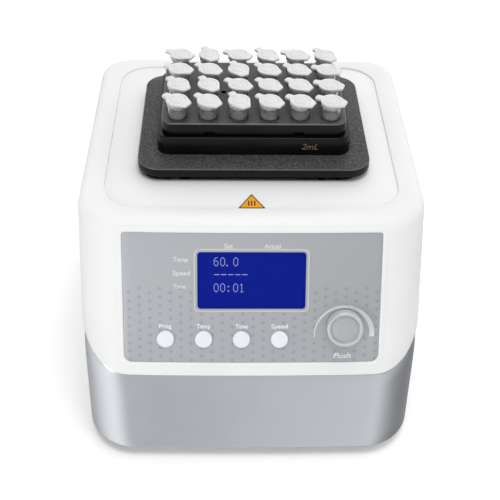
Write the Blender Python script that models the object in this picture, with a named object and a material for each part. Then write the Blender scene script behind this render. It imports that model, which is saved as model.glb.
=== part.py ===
"""Heating and shaking block for sealed sample tubes, built as separate closed pieces.

Axes: +X right, +Y back, +Z up, front facing -Y, origin on the bench under the middle of the body.
All the sizes below are in millimetres and are scaled to metres when a mesh is made.
"""
import bpy
import bmesh
from math import cos, sin, tan, radians, pi

MM = 0.001
GAP = 0.3                 # air left between neighbouring pieces

# Body
BODY_WIDTH = 194.6
TOP_Z = 145.0             # flat top of the body
SHELL_BOTTOM_Z = 7.2
EDGE_FILLET = 6.0         # rounding between the top and the walls
FRONT_LEAN = radians(26.6)
LOWER_LEAN = radians(5.4)
FRONT_BULGE = 1.6         # how far the front swells forward at its middle
TOP_RADIUS = 25.0         # corner radius in plan at the top
BOTTOM_RADIUS = 29.2
REAR_RADIUS = 20.0
WALL = 3.0
FRONT_WALL = 5.0
INNER_CHAMFER = 3.5       # between the walls and the ceiling inside
BASE_THICKNESS = 2.0
LOWER_SET_BACK = 1.35     # how far the lower shell lies inside the upper one at the back of the seam
SEAM_FRONT_Z = 64.9
SEAM_BACK_Z = 95.0
SEAM_LEAD = 1.0           # the rise starts this far ahead of the flat front
SEAM_RUN = 60.0           # length over which the seam rises, measured back from the front
SEAM_EASE = 1.5           # how steeply the rise starts

# The platform is centred here, one orbit radius right of the motor
BLOCK_Y = 20.0
ORBIT = 1.5
TUBE_PITCH = 17.5
TUBE_COLUMNS = 6
TUBE_ROWS = 4

# Rear wall, and the shallow recess in the top with its opening for the platform
REAR_Y = BLOCK_Y + 89.7
REAR_SPREAD = 2.3         # the rear wall leans out this far on its way down
RECESS_SIZE = (166.8, 153.4)
RECESS_RADIUS = 20.0
RECESS_DEPTH = 0.7
OPENING_SIZE = (126.0, 99.0)
OPENING_RADIUS = 12.0

# Control panel, in its own plane: x across, t down the slope, h out of the surface
PANEL_Y = BLOCK_Y - 91.4
PANEL_Z = TOP_Z - 6.0
PANEL_WIDTH = 142.5
PANEL_LENGTH = 74.6
PANEL_RADII = (4.5, 1.7)  # lower and upper corners
PANEL_RECESS = 1.9
PANEL_THICKNESS = 1.4
LENS = (-32.1, 31.4, 8.9, 45.0)   # left, right, top and bottom of the display
WINDOW_SIZE = (66.0, 38.0)
BUTTON_T = 60.6
BUTTON_XS = {"button_prog": -48.0, "button_temp": -26.8, "button_time": -5.8, "button_speed": 15.4}
BUTTON_RADIUS = 4.8
BUTTON_HOLE = 5.4
KNOB_X = 51.3
KNOB_T = 53.3
NECK_HOLE = 5.0

# Shaking platform, heights above the top of the body
DECK_SIZE = (133.2, 104.0)
DECK_RADIUS = 13.0
DECK_BOTTOM = 2.3
DECK_TOP = 7.7
BLOCK_SHIFT_Y = 0.5       # the block's centre lies this far behind the middle of its wells
TRAY_SIZE = (111.4, 75.2)
TRAY_RADIUS = 7.5
TRAY_TOP = 18.9
TRAY_BOTTOM = -9.0
FLANGE_SIZE = (105.8, 70.0)
FLANGE_TOP = 26.7
SPIGOT_SIZE = (104.0, 68.0)
SPIGOT_BOTTOM = -5.7
WELL_RADIUS = 5.7
TUBE_RADIUS = 5.4
TUBE_BOTTOM = -2.7
LID_TOP = 37.8
LID_RADIUS = 6.4
LID_TAB_REACH = 9.6
LID_HINGE_REACH = 8.6

# Direction of every lid's hinge in degrees from +X, row by row from the front left: the lids sit
# turned a little differently, hinge mostly towards the front right
HINGE_TURNS = (
    (-37, -40, -60, -37, -32, -25),
    (-50, -60, -35, -40, -40, -20),
    (-25, -35, -65, -40, -35, -20),
    (-25, -70, -25, -50, -25, -55),
)
CARRIER_SIZE = (116.0, 90.0)
CARRIER_TOP = -16.3
CARRIER_BOTTOM = -20.3
POST_X = 40.0             # posts between the deck and the carrier, measured from the block's centre
POST_Y = 41.6
IDLER_X = 50.0

# Works below the platform
CHASSIS_TOP = -52.0
CHASSIS_THICKNESS = 4.0
MOTOR_RADIUS = 30.0
FAN_X = -46.0
FAN_Z = 46.0
FAN_SIZE = 60.0
FAN_DEPTH = 15.0
INLET_X = 50.0
INLET_Z = 42.0
INLET_SIZE = (64.0, 30.0)
INLET_BODY = (56.0, 24.0)
SOCKET_OFFSET = 13.0      # the lead's socket lies this far right of the inlet's middle
SOCKET_DEPTH = 15.0
SWITCH_OFFSET = -15.0
VENT_WIDTH = 3.0
FAN_VENT_RADIUS = 26.0
FAN_VENT_PITCH = 6.0
SIDE_VENT_HEIGHT = 26.0
SIDE_VENT_PITCH = 8.0
SIDE_VENT_Z = 34.0
FOOT_XS = (-78.0, 78.0)
FOOT_YS = (-88.0, 88.0)

FRONT_STEPS = 16
CORNER_STEPS = 8

MATERIALS = {
    "white_plastic": ((0.86, 0.87, 0.88), 0.0, 0.35),
    "silver_paint": ((0.42, 0.43, 0.45), 0.5, 0.38),
    "panel_foil": ((0.47, 0.48, 0.50), 0.3, 0.45),
    "black_deck": ((0.03, 0.03, 0.032), 0.2, 0.60),
    "black_anodised": ((0.02, 0.02, 0.022), 0.6, 0.40),
    "clear_lens": ((0.05, 0.08, 0.35), 0.0, 0.15),
    "display_blue": ((0.01, 0.02, 0.45), 0.0, 0.30),
    "board_green": ((0.03, 0.20, 0.08), 0.0, 0.50),
    "button_white": ((0.88, 0.90, 0.95), 0.0, 0.35),
    "knob_silver": ((0.55, 0.56, 0.58), 0.4, 0.40),
    "steel": ((0.55, 0.55, 0.56), 1.0, 0.30),
    "dark_plastic": ((0.03, 0.03, 0.035), 0.0, 0.50),
    "rubber": ((0.02, 0.02, 0.02), 0.0, 0.85),
    "heater_foil": ((0.65, 0.33, 0.08), 0.0, 0.45),
    "foam": ((0.75, 0.75, 0.72), 0.0, 0.90),
    "frosted_tube": ((0.88, 0.90, 0.92), 0.0, 0.30),
    "copper_wound": ((0.60, 0.32, 0.14), 0.8, 0.40),
}


# ---------------------------------------------------------------- helpers

def clear_scene():
    for obj in list(bpy.data.objects):
        bpy.data.objects.remove(obj, do_unlink=True)


def material(name):
    found = bpy.data.materials.get(name)
    if found:
        return found
    colour, metallic, roughness = MATERIALS[name]
    made = bpy.data.materials.new(name)
    made.use_nodes = True
    shader = made.node_tree.nodes["Principled BSDF"]
    shader.inputs["Base Color"].default_value = (*colour, 1.0)
    shader.inputs["Metallic"].default_value = metallic
    shader.inputs["Roughness"].default_value = roughness
    return made


def flat(u, v, w):
    """Upright placing: u and v are world x and y, w is world z."""
    return (u, v, w)


def panel_point(x, t, h, bulge):
    """Point in the control panel's plane, h standing out of it."""
    y = PANEL_Y - t * sin(FRONT_LEAN) - h * cos(FRONT_LEAN) + FRONT_BULGE - bulge
    z = PANEL_Z - t * cos(FRONT_LEAN) + h * sin(FRONT_LEAN)
    return (x, y, z)


def on_panel(x, t, h):
    """Placing for flat pieces that touch the panel at its middle."""
    return panel_point(x, t, h, FRONT_BULGE)


def unbent(x, t, h):
    """Placing for pieces that are bent over the front afterwards."""
    return panel_point(x, t, h, 0.0)


def on_panel_near(x_centre):
    """Placing for a small flat piece that meets the panel at x_centre."""
    return lambda x, t, h: panel_point(x, t, h, bulge_at(x_centre))


def facing_back(x, z, y):
    """Placing for pieces on the rear wall: the third value runs along +Y."""
    return (x, y, z)


def facing_side(y, z, x):
    """Placing for pieces on a side wall: the third value runs along +X."""
    return (x, y, z)


def bulge_at(x):
    return FRONT_BULGE * max(0.0, 1.0 - (x / (BODY_WIDTH / 2)) ** 2)


def circle(cx, cy, radius, count):
    step = 2 * pi / count
    return [(cx + radius * cos(i * step), cy + radius * sin(i * step)) for i in range(count)]


def rectangle(size, radius=0.0, centre=(0.0, 0.0), steps=4):
    """Outline of a rectangle with rounded corners, counter-clockwise."""
    half_x, half_y = size[0] / 2, size[1] / 2
    if radius <= 0:
        radius, steps = 0.0, 0
    points = []
    for sx, sy, start in ((1, 1, 0), (-1, 1, 90), (-1, -1, 180), (1, -1, 270)):
        for i in range(steps + 1):
            angle = radians(start + (90 * i / steps if steps else 0))
            x = centre[0] + sx * (half_x - radius) + radius * cos(angle)
            y = centre[1] + sy * (half_y - radius) + radius * sin(angle)
            points.append((x, y))
    return points


def loft(name, rings, slot, closed=False, origin=(0.0, 0.0, 0.0)):
    """Skin a list of equal rings of world points; the two ends are capped unless it is closed."""
    count = len(rings[0])
    mesh = bmesh.new()
    rows = []
    for ring in rings:
        rows.append([mesh.verts.new([(p[k] - origin[k]) * MM for k in range(3)]) for p in ring])
    pairs = list(zip(rows, rows[1:]))
    if closed:
        pairs.append((rows[-1], rows[0]))
    for low, high in pairs:
        for i in range(count):
            j = (i + 1) % count
            mesh.faces.new((low[i], low[j], high[j], high[i]))
    if not closed:
        mesh.faces.new(rows[0])
        mesh.faces.new(rows[-1])
    return finish(name, mesh, slot, origin)


def finish(name, mesh, slot, origin):
    bmesh.ops.recalc_face_normals(mesh, faces=mesh.faces)
    data = bpy.data.meshes.new(name)
    mesh.to_mesh(data)
    mesh.free()
    data.materials.append(material(slot))
    obj = bpy.data.objects.new(name, data)
    obj.location = [value * MM for value in origin]
    bpy.context.collection.objects.link(obj)
    return obj


def stack(name, levels, slot, place=flat, origin=(0.0, 0.0, 0.0)):
    """Solid through (outline, height) levels; every outline has the same number of points."""
    rings = [[place(u, v, height) for u, v in outline] for outline, height in levels]
    return loft(name, rings, slot, origin=origin)


def prism(name, outline, low, high, slot, place=flat, origin=(0.0, 0.0, 0.0)):
    return stack(name, [(outline, low), (outline, high)], slot, place, origin)


def turned(name, centre, profile, slot, place=flat, count=24, origin=(0.0, 0.0, 0.0)):
    """Solid of revolution from (radius, height) steps, capped at its first and last radius."""
    levels = [(circle(centre[0], centre[1], radius, count), height) for radius, height in profile]
    return stack(name, levels, slot, place, origin)


def ring_solid(name, outer, inner, low, high, slot, place=flat):
    """Frame between two outlines with the same number of points."""
    rings = []
    for outline, height in ((outer, low), (outer, high), (inner, high), (inner, low)):
        rings.append([place(u, v, height) for u, v in outline])
    return loft(name, rings, slot, closed=True)


def combine(target, tool, operation):
    """Apply a Boolean to target at once and remove the tool."""
    modifier = target.modifiers.new("combine", "BOOLEAN")
    modifier.operation = operation
    modifier.solver = "EXACT"
    modifier.object = tool
    graph = bpy.context.evaluated_depsgraph_get()
    result = bpy.data.meshes.new_from_object(target.evaluated_get(graph))
    target.modifiers.clear()
    slot = target.data.materials[0]
    target.data = result
    target.data.materials.clear()
    target.data.materials.append(slot)
    for polygon in target.data.polygons:
        polygon.material_index = 0
    bpy.data.objects.remove(tool, do_unlink=True)


def cut(target, *tools):
    for tool in tools:
        combine(target, tool, "DIFFERENCE")


def fuse(target, *tools):
    for tool in tools:
        combine(target, tool, "UNION")


def bend_over_front(obj, half_width, step=14.0):
    """Slice a flat panel piece across x so that it can follow the swelling front."""
    mesh = bmesh.new()
    mesh.from_mesh(obj.data)
    x = -half_width + step
    while x < half_width:
        parts = mesh.verts[:] + mesh.edges[:] + mesh.faces[:]
        bmesh.ops.bisect_plane(mesh, geom=parts, plane_co=(x * MM, 0, 0), plane_no=(1, 0, 0))
        x += step
    for vert in mesh.verts:
        vert.co.y -= bulge_at(vert.co.x / MM) * MM
    bmesh.ops.recalc_face_normals(mesh, faces=mesh.faces)
    mesh.to_mesh(obj.data)
    mesh.free()


def panel_plate(name, outline, low, high, slot):
    """Plate lying in the panel's plane and bent with the front."""
    obj = prism(name, outline, low, high, slot, unbent)
    bend_over_front(obj, max(abs(x) for x, t in outline))
    return obj


# ---------------------------------------------------------------- body walls

def front_y(z):
    """Front of the body at height z, before the bulge is added."""
    if z >= SEAM_FRONT_Z:
        return PANEL_Y - (PANEL_Z - z) * tan(FRONT_LEAN)
    at_seam = PANEL_Y - (PANEL_Z - SEAM_FRONT_Z) * tan(FRONT_LEAN)
    return at_seam - (SEAM_FRONT_Z - z) * tan(LOWER_LEAN)


def drop_share(z):
    """How far down the body a height lies: 0 at its top, 1 at the bottom of the shell."""
    return (TOP_Z - z) / (TOP_Z - SHELL_BOTTOM_Z)


def rear_y(z):
    return REAR_Y + REAR_SPREAD * drop_share(z)


def corner_radius(z):
    return TOP_RADIUS + (BOTTOM_RADIUS - TOP_RADIUS) * drop_share(z)


def stations():
    """Fixed places round the body: (side x, side y, angle) in a corner, or a share of the front."""
    places = []
    for sx, sy, start in ((-1, -1, 180), (1, -1, 270), (1, 1, 0), (-1, 1, 90)):
        for i in range(CORNER_STEPS + 1):
            places.append((sx, sy, radians(start + 90 * i / CORNER_STEPS)))
        if (sx, sy) == (-1, -1):
            places += [(i / FRONT_STEPS,) for i in range(1, FRONT_STEPS)]
    return places


def wall_point(station, z, inset=0.0, front_inset=None):
    """World point on the body's outer wall at one station, moved inwards by inset."""
    if front_inset is None:
        front_inset = inset
    half = BODY_WIDTH / 2 - inset
    front = front_y(z) + FRONT_BULGE + front_inset
    rear = rear_y(z) - inset
    radius = max(corner_radius(z) - inset, 2.0)
    rear_radius = max(REAR_RADIUS - inset, 2.0)
    if len(station) == 1:
        x = (2 * station[0] - 1) * (half - radius)
        return (x, front - bulge_at(x), z)
    sx, sy, angle = station
    used = radius if sy < 0 else rear_radius
    x = sx * (half - used) + used * cos(angle)
    y = (front + used if sy < 0 else rear - used) + used * sin(angle)
    if sy < 0:
        y -= bulge_at(x) * max(0.0, -sin(angle))
    return (x, y, z)


def seam_height(station):
    """The seam is level across the front, sweeps up round the corner and levels out at the back."""
    y = wall_point(station, SEAM_FRONT_Z)[1]
    y_start = front_y(SEAM_FRONT_Z) + FRONT_BULGE - SEAM_LEAD
    share = min(max((y - y_start) / SEAM_RUN, 0.0), 1.0)
    return SEAM_FRONT_Z + (SEAM_BACK_Z - SEAM_FRONT_Z) * (1.0 - (1.0 - share) ** SEAM_EASE)


def level_ring(height, inset=0.0, front_inset=None):
    return [wall_point(s, height, inset, front_inset) for s in stations()]


def blend_ring(share, top, inset=0.0, front_inset=None):
    """Ring that lies share of the way from just above the seam up to a level top."""
    ring = []
    for station in stations():
        low = seam_height(station) + GAP
        ring.append(wall_point(station, low + (top - low) * share, inset, front_inset))
    return ring


def lower_inset(z):
    """Set-back of the lower shell, which leans out to the full width at its bottom."""
    return LOWER_SET_BACK * (z - SHELL_BOTTOM_Z) / (SEAM_BACK_Z - SHELL_BOTTOM_Z)


def drop_ring(share, bottom, inset=0.0):
    """Ring on the lower shell, share of the way from its level bottom up to the seam."""
    ring = []
    for station in stations():
        high = seam_height(station) - GAP
        z = bottom + (high - bottom) * share
        ring.append(wall_point(station, z, inset + lower_inset(z)))
    return ring


# ---------------------------------------------------------------- housings

def make_upper_housing():
    inner_top = TOP_Z - WALL
    wall_top = inner_top - INNER_CHAMFER
    rings = [level_ring(inner_top, WALL + INNER_CHAMFER, FRONT_WALL + INNER_CHAMFER)]
    rings.append(level_ring(wall_top, WALL, FRONT_WALL))
    for share in (0.6, 0.3, 0.1):
        rings.append(blend_ring(share, wall_top, WALL, FRONT_WALL))
    rings.append(blend_ring(0.0, wall_top, WALL + LOWER_SET_BACK))
    for share in (0.0, 0.25, 0.5, 0.75, 1.0):
        rings.append(blend_ring(share, TOP_Z - EDGE_FILLET))
    for degrees in (22.5, 45.0, 67.5, 90.0):
        height = TOP_Z - EDGE_FILLET * (1 - sin(radians(degrees)))
        rings.append(level_ring(height, EDGE_FILLET * (1 - cos(radians(degrees)))))
    housing = loft("upper_housing", rings, "white_plastic")

    recess = rectangle(RECESS_SIZE, RECESS_RADIUS, (0.0, BLOCK_Y), 6)
    opening = rectangle(OPENING_SIZE, OPENING_RADIUS, (0.0, BLOCK_Y), 4)
    cut(housing, prism("recess", recess, TOP_Z - RECESS_DEPTH, TOP_Z + 9.0, "white_plastic"))
    cut(housing, prism("opening", opening, TOP_Z - 20.0, TOP_Z + 9.0, "white_plastic"))

    cut(housing, panel_plate("pocket", panel_outline(0.0), -PANEL_RECESS, 9.0, "white_plastic"))
    window = rectangle(WINDOW_SIZE, 0.0, lens_centre())
    cut(housing, prism("window", window, -14.0, 4.0, "white_plastic", on_panel))
    places = [(x, BUTTON_T, BUTTON_HOLE) for x in BUTTON_XS.values()] + [(KNOB_X, KNOB_T, NECK_HOLE)]
    for x, t, radius in places:
        profile = [(radius, -14.0), (radius, 4.0)]
        cut(housing, turned("hole", (x, t), profile, "white_plastic", on_panel_near(x), 20))


def lens_centre():
    return ((LENS[0] + LENS[1]) / 2, (LENS[2] + LENS[3]) / 2)


def panel_outline(gap):
    """Panel outline with tight upper corners and rounder lower ones."""
    half = PANEL_WIDTH / 2 - gap
    top, bottom = gap, PANEL_LENGTH - gap
    lower, upper = PANEL_RADII
    corners = ((1, bottom, lower, 0), (-1, bottom, lower, 90), (-1, top, upper, 180), (1, top, upper, 270))
    points = []
    for sx, edge, radius, start in corners:
        inner = edge - radius if edge == bottom else edge + radius
        for i in range(5):
            angle = radians(start + 22.5 * i)
            points.append((sx * (half - radius) + radius * cos(angle), inner + radius * sin(angle)))
    return points


def make_lower_housing():
    rings = []
    for share in (0.0, 0.33, 0.66, 1.0):
        rings.append(drop_ring(share, SHELL_BOTTOM_Z))
    for share in (1.0, 0.5, 0.0):
        rings.append(drop_ring(share, SHELL_BOTTOM_Z, WALL))
    housing = loft("lower_housing", rings, "silver_paint", closed=True)
    rear = rear_y(FAN_Z)
    for i in range(-4, 5):
        offset = FAN_VENT_PITCH * i
        height = 2 * (FAN_VENT_RADIUS ** 2 - offset ** 2) ** 0.5
        slot = rectangle((VENT_WIDTH, height), 0.0, (FAN_X + offset, FAN_Z))
        cut(housing, prism("slot", slot, rear - 8.0, rear + 4.0, "silver_paint", facing_back))
    for side in (-1, 1):
        make_side_vents(housing, side)
    hole_size = (INLET_BODY[0] + 2 * GAP, INLET_BODY[1] + 2 * GAP)
    hole = rectangle(hole_size, 1.5, (INLET_X, INLET_Z), 2)
    cut(housing, prism("hole", hole, rear - 8.0, rear + 6.0, "silver_paint", facing_back))


def make_side_vents(housing, side):
    """Upright intake slots low in one side wall."""
    outside = side * (BODY_WIDTH / 2 + 4.0)
    inside = side * (BODY_WIDTH / 2 - 8.0)
    for i in range(7):
        centre = (BLOCK_Y + SIDE_VENT_PITCH * (i - 3), SIDE_VENT_Z)
        slot = rectangle((VENT_WIDTH, SIDE_VENT_HEIGHT), 0.0, centre)
        cut(housing, prism("slot", slot, inside, outside, "silver_paint", facing_side))


def make_base_plate():
    low = SHELL_BOTTOM_Z + GAP
    high = low + BASE_THICKNESS
    inset = lower_inset(high) + WALL + GAP
    rings = [level_ring(low, inset), level_ring(high, inset)]
    loft("base_plate", rings, "steel")


def make_feet():
    for row, y in (("front", FOOT_YS[0]), ("rear", FOOT_YS[1])):
        for side, x in (("left", FOOT_XS[0]), ("right", FOOT_XS[1])):
            profile = [(8.0, 0.0), (8.8, 1.0), (9.5, SHELL_BOTTOM_Z)]
            turned("foot_" + row + "_" + side, (x, y), profile, "rubber")


# ---------------------------------------------------------------- control panel

def make_control_panel():
    plate = panel_plate("control_panel", panel_outline(GAP), GAP - PANEL_RECESS,
                        GAP - PANEL_RECESS + PANEL_THICKNESS, "panel_foil")
    x0, x1, t0, t1 = LENS
    window = rectangle((x1 - x0 + 2 * GAP, t1 - t0 + 2 * GAP), 1.3, lens_centre(), 2)
    cut(plate, prism("window", window, -6.0, 4.0, "panel_foil", on_panel))
    places = [(x, BUTTON_T, BUTTON_RADIUS + GAP) for x in BUTTON_XS.values()] + [(KNOB_X, KNOB_T, 4.4)]
    for x, t, radius in places:
        profile = [(radius, -6.0), (radius, 4.0)]
        cut(plate, turned("hole", (x, t), profile, "panel_foil", on_panel_near(x), 20))


def make_display():
    x0, x1, t0, t1 = LENS
    centre = lens_centre()
    lens = rectangle((x1 - x0, t1 - t0), 1.0, centre, 2)
    prism("display_lens", lens, -1.6, 0.0, "clear_lens", on_panel)
    glass = rectangle((x1 - x0, t1 - t0), 0.0, centre)
    body = prism("display_module", glass, -9.0, -1.9, "display_blue", on_panel)
    board = rectangle((x1 - x0 + 0.6, t1 - t0 + 0.6), 0.0, centre)
    fuse(body, prism("board", board, -10.5, -8.5, "display_blue", on_panel))


def make_control_board():
    outline = rectangle((132.0, 64.0), 2.0, (0.0, 38.0), 2)
    board = prism("control_board", outline, -14.0, -12.4, "board_green", on_panel)
    for x in BUTTON_XS.values():
        key = rectangle((7.0, 7.0), 0.0, (x, BUTTON_T))
        fuse(board, prism("key", key, -13.0, -9.2, "board_green", on_panel))
    socket = rectangle((30.0, 5.0), 0.0, (-48.0, 12.0))
    fuse(board, prism("socket", socket, -20.0, -13.0, "board_green", on_panel))


def make_buttons():
    for name, x in BUTTON_XS.items():
        profile = [(6.2, -8.2), (6.2, -6.6), (BUTTON_RADIUS, -6.6), (BUTTON_RADIUS, 1.1),
                   (BUTTON_RADIUS - 0.5, 1.6)]
        place = on_panel_near(x)
        turned(name, (x, BUTTON_T), profile, "button_white", place, 20, place(x, BUTTON_T, 0.0))


def make_knob():
    centre = (KNOB_X, KNOB_T)
    place = on_panel_near(KNOB_X)
    body = rectangle((13.0, 13.0), 0.0, centre)
    encoder = prism("encoder", body, -11.6, -6.0, "steel", place)
    fuse(encoder, turned("neck", centre, [(4.0, -6.5), (4.0, 0.0)], "steel", place, 20))
    cut(encoder, turned("bore", centre, [(2.6, -11.0), (2.6, 1.5)], "steel", place, 20))
    origin = place(KNOB_X, KNOB_T, 0.0)
    turned("encoder_shaft", centre, [(2.3, -9.8), (2.3, 4.3)], "steel", place, 20, origin)
    profile = [(2.6, 4.6), (2.6, 2.6), (5.2, 2.6), (5.2, 1.0), (10.1, 1.0), (10.1, 2.0),
               (9.9, 6.4), (9.5, 7.0), (8.9, 7.0), (8.7, 6.2)]
    turned("knob", centre, profile, "knob_silver", place, 28, origin)


# ---------------------------------------------------------------- shaking platform

def platform_rect(size, radius, steps=4, shift=0.0):
    return rectangle(size, radius, (ORBIT, BLOCK_Y + shift), steps)


def make_deck():
    outer = platform_rect(DECK_SIZE, DECK_RADIUS, 6)
    deck = prism("shaker_deck", outer, TOP_Z + DECK_BOTTOM, TOP_Z + DECK_TOP, "black_deck")
    hole_size = (TRAY_SIZE[0] + 2 * GAP, TRAY_SIZE[1] + 2 * GAP)
    hole = platform_rect(hole_size, TRAY_RADIUS + GAP, 4, BLOCK_SHIFT_Y)
    cut(deck, prism("hole", hole, TOP_Z - 5.0, TOP_Z + 12.0, "black_deck"))
    for sx in (-1, 1):
        for side in (-1, 1):
            y = BLOCK_Y + BLOCK_SHIFT_Y + side * POST_Y
            post = turned("post", (ORBIT + sx * POST_X, y),
                          [(2.5, TOP_Z + CARRIER_TOP + GAP), (2.5, TOP_Z + DECK_BOTTOM + 1.0)],
                          "black_deck", flat, 12)
            fuse(deck, post)


def make_block_base():
    outer = platform_rect(TRAY_SIZE, TRAY_RADIUS, 4, BLOCK_SHIFT_Y)
    inner_size = (SPIGOT_SIZE[0] + 2 * GAP, SPIGOT_SIZE[1] + 2 * GAP)
    inner = platform_rect(inner_size, 3.5, 4, BLOCK_SHIFT_Y)
    floor = TOP_Z + SPIGOT_BOTTOM - GAP
    levels = [(outer, TOP_Z + TRAY_BOTTOM), (outer, TOP_Z + TRAY_TOP),
              (inner, TOP_Z + TRAY_TOP), (inner, floor)]
    stack("block_base", levels, "black_anodised")


def tube_sites():
    """Each tube's name and centre, numbered row by row from the front left."""
    sites = []
    for row in range(TUBE_ROWS):
        for column in range(TUBE_COLUMNS):
            x = ORBIT + (column - (TUBE_COLUMNS - 1) / 2) * TUBE_PITCH
            y = BLOCK_Y + (row - (TUBE_ROWS - 1) / 2) * TUBE_PITCH
            sites.append((row, column, x, y))
    return sites


def make_tube_block():
    spigot = platform_rect(SPIGOT_SIZE, 3.2, 4, BLOCK_SHIFT_Y)
    flange = platform_rect(FLANGE_SIZE, 6.5, 4, BLOCK_SHIFT_Y)
    neck = TOP_Z + TRAY_TOP + GAP
    levels = [(spigot, TOP_Z + SPIGOT_BOTTOM), (spigot, neck), (flange, neck),
              (flange, TOP_Z + FLANGE_TOP - 0.8)]
    levels.append((platform_rect((FLANGE_SIZE[0] - 1.6, FLANGE_SIZE[1] - 1.6), 5.7, 4, BLOCK_SHIFT_Y),
                   TOP_Z + FLANGE_TOP))
    block = stack("tube_block", levels, "black_anodised")
    front = BLOCK_Y + BLOCK_SHIFT_Y - FLANGE_SIZE[1] / 2
    for side in (-1, 1):
        notch = rectangle((5.8, 3.0), 0.0, (ORBIT + side * 25.4, front))
        cut(block, prism("notch", notch, neck - 1.0, neck + 2.4, "black_anodised"))
    for row, column, x, y in tube_sites():
        profile = [(3.4, TOP_Z + TUBE_BOTTOM - GAP), (WELL_RADIUS, TOP_Z + 4.0), (WELL_RADIUS, TOP_Z + 40.0)]
        cut(block, turned("well", (x, y), profile, "black_anodised", flat, 12))
    puller = turned("puller", (ORBIT - TUBE_PITCH, BLOCK_Y), [(1.6, TOP_Z + 15.0), (1.6, TOP_Z + 40.0)],
                    "black_anodised", flat, 12)
    cut(block, puller)


def lid_outline(x, y, turn, radius, tab, hinge):
    """Round outline that reaches out to a thumb tab on one side and to a hinge web on the other."""
    points = []
    for i in range(12):
        angle = radians(30 * i + 15) + turn
        reach = radius
        if i in (0, 11):
            reach = tab
        if i in (5, 6):
            reach = hinge
        points.append((x + reach * cos(angle), y + reach * sin(angle)))
    return points


def tube_turn(row, column):
    """Direction of a lid's tab, opposite its hinge."""
    return radians(HINGE_TURNS[row][column]) + pi


def make_tubes():
    for row, column, x, y in tube_sites():
        turn = tube_turn(row, column)

        wall = lid_outline(x, y, turn, TUBE_RADIUS, TUBE_RADIUS, TUBE_RADIUS)
        levels = [
            (lid_outline(x, y, turn, 3.0, 3.0, 3.0), TOP_Z + TUBE_BOTTOM),
            (wall, TOP_Z + 4.2),
            (wall, TOP_Z + LID_TOP - 3.0),
            (lid_outline(x, y, turn, 5.9, 9.0, 8.0), TOP_Z + LID_TOP - 2.4),
            (lid_outline(x, y, turn, LID_RADIUS, LID_TAB_REACH, LID_HINGE_REACH), TOP_Z + LID_TOP),
            (lid_outline(x, y, turn, 4.4, 4.4, 4.4), TOP_Z + LID_TOP),
            (lid_outline(x, y, turn, 4.4, 4.4, 4.4), TOP_Z + LID_TOP - 1.0),
        ]
        stack("tube_%d%d" % (row + 1, column + 1), levels, "frosted_tube")


def make_heating():
    size = (100.0, 64.0)
    outline = platform_rect(size, 4.0, 3, BLOCK_SHIFT_Y)
    prism("heater_plate", outline, TOP_Z - 11.3, TOP_Z + TRAY_BOTTOM - GAP, "heater_foil")
    prism("insulation_pad", outline, TOP_Z + CARRIER_TOP + GAP, TOP_Z - 11.6, "foam")
    rear = BLOCK_Y + BLOCK_SHIFT_Y + TRAY_SIZE[1] / 2
    profile = [(1.5, TOP_Z - 14.0), (1.8, TOP_Z - 12.0), (1.8, TOP_Z + 1.6)]
    turned("temperature_probe", (ORBIT, rear + 2.2), profile, "steel", flat, 12)


def make_carrier():
    plate = prism("carrier_plate", platform_rect(CARRIER_SIZE, 10.0, 4), TOP_Z + CARRIER_BOTTOM,
                  TOP_Z + CARRIER_TOP, "steel")
    bosses = [(ORBIT, 13.3, 16.5, 10.0)]
    bosses += [(ORBIT + side * IDLER_X, 3.5, 7.0, 11.0) for side in (-1, 1)]
    for x, inner, outer, depth in bosses:
        ring = ring_solid("boss", circle(x, BLOCK_Y, outer, 24), circle(x, BLOCK_Y, inner, 24),
                          TOP_Z + CARRIER_BOTTOM - depth, TOP_Z + CARRIER_BOTTOM + 1.0, "steel")
        fuse(plate, ring)


# ---------------------------------------------------------------- drive

def crank_levels(x, shaft, pin, web_offset, web_radius, heights, count=24):
    """Shaft, offset web and eccentric pin as one run of circles from the bottom up."""
    low, web_low, web_high, top = heights
    return [
        (circle(x, BLOCK_Y, shaft, count), low),
        (circle(x, BLOCK_Y, shaft, count), web_low),
        (circle(x + web_offset, BLOCK_Y, web_radius, count), web_low),
        (circle(x + web_offset, BLOCK_Y, web_radius, count), web_high),
        (circle(x + ORBIT, BLOCK_Y, pin, count), web_high),
        (circle(x + ORBIT, BLOCK_Y, pin, count), top),
    ]


def make_drive():
    motor_top = TOP_Z + CHASSIS_TOP - CHASSIS_THICKNESS - GAP
    centre = (0.0, BLOCK_Y)
    profile = [(MOTOR_RADIUS - 3.0, motor_top - 38.0), (MOTOR_RADIUS, motor_top - 35.0),
               (MOTOR_RADIUS, motor_top - 4.0), (MOTOR_RADIUS - 2.0, motor_top),
               (5.4, motor_top), (5.4, motor_top - 22.0)]
    turned("motor", centre, profile, "copper_wound", flat, 28)
    heights = (motor_top - 21.0, TOP_Z - 44.0, TOP_Z - 37.0, TOP_Z - 21.0)
    levels = crank_levels(0.0, 5.0, 4.9, -8.0, 20.0, heights)
    stack("drive_crank", levels, "steel", flat, (0.0, BLOCK_Y, 0.0))
    bearing_low, bearing_high = TOP_Z - 29.5, TOP_Z - 20.8
    ring_solid("crank_bearing", circle(ORBIT, BLOCK_Y, 13.0, 24), circle(ORBIT, BLOCK_Y, 5.2, 24),
               bearing_low, bearing_high, "steel")
    for name, side in (("idler_left", -1), ("idler_right", 1)):
        x = side * IDLER_X
        heights = (TOP_Z - 60.0, TOP_Z - 42.0, TOP_Z - 38.0, TOP_Z - 21.0)
        levels = crank_levels(x, 3.2, 3.2, 0.75, 7.5, heights, 16)
        stack(name, levels, "steel", flat, (x, BLOCK_Y, 0.0))


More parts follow.
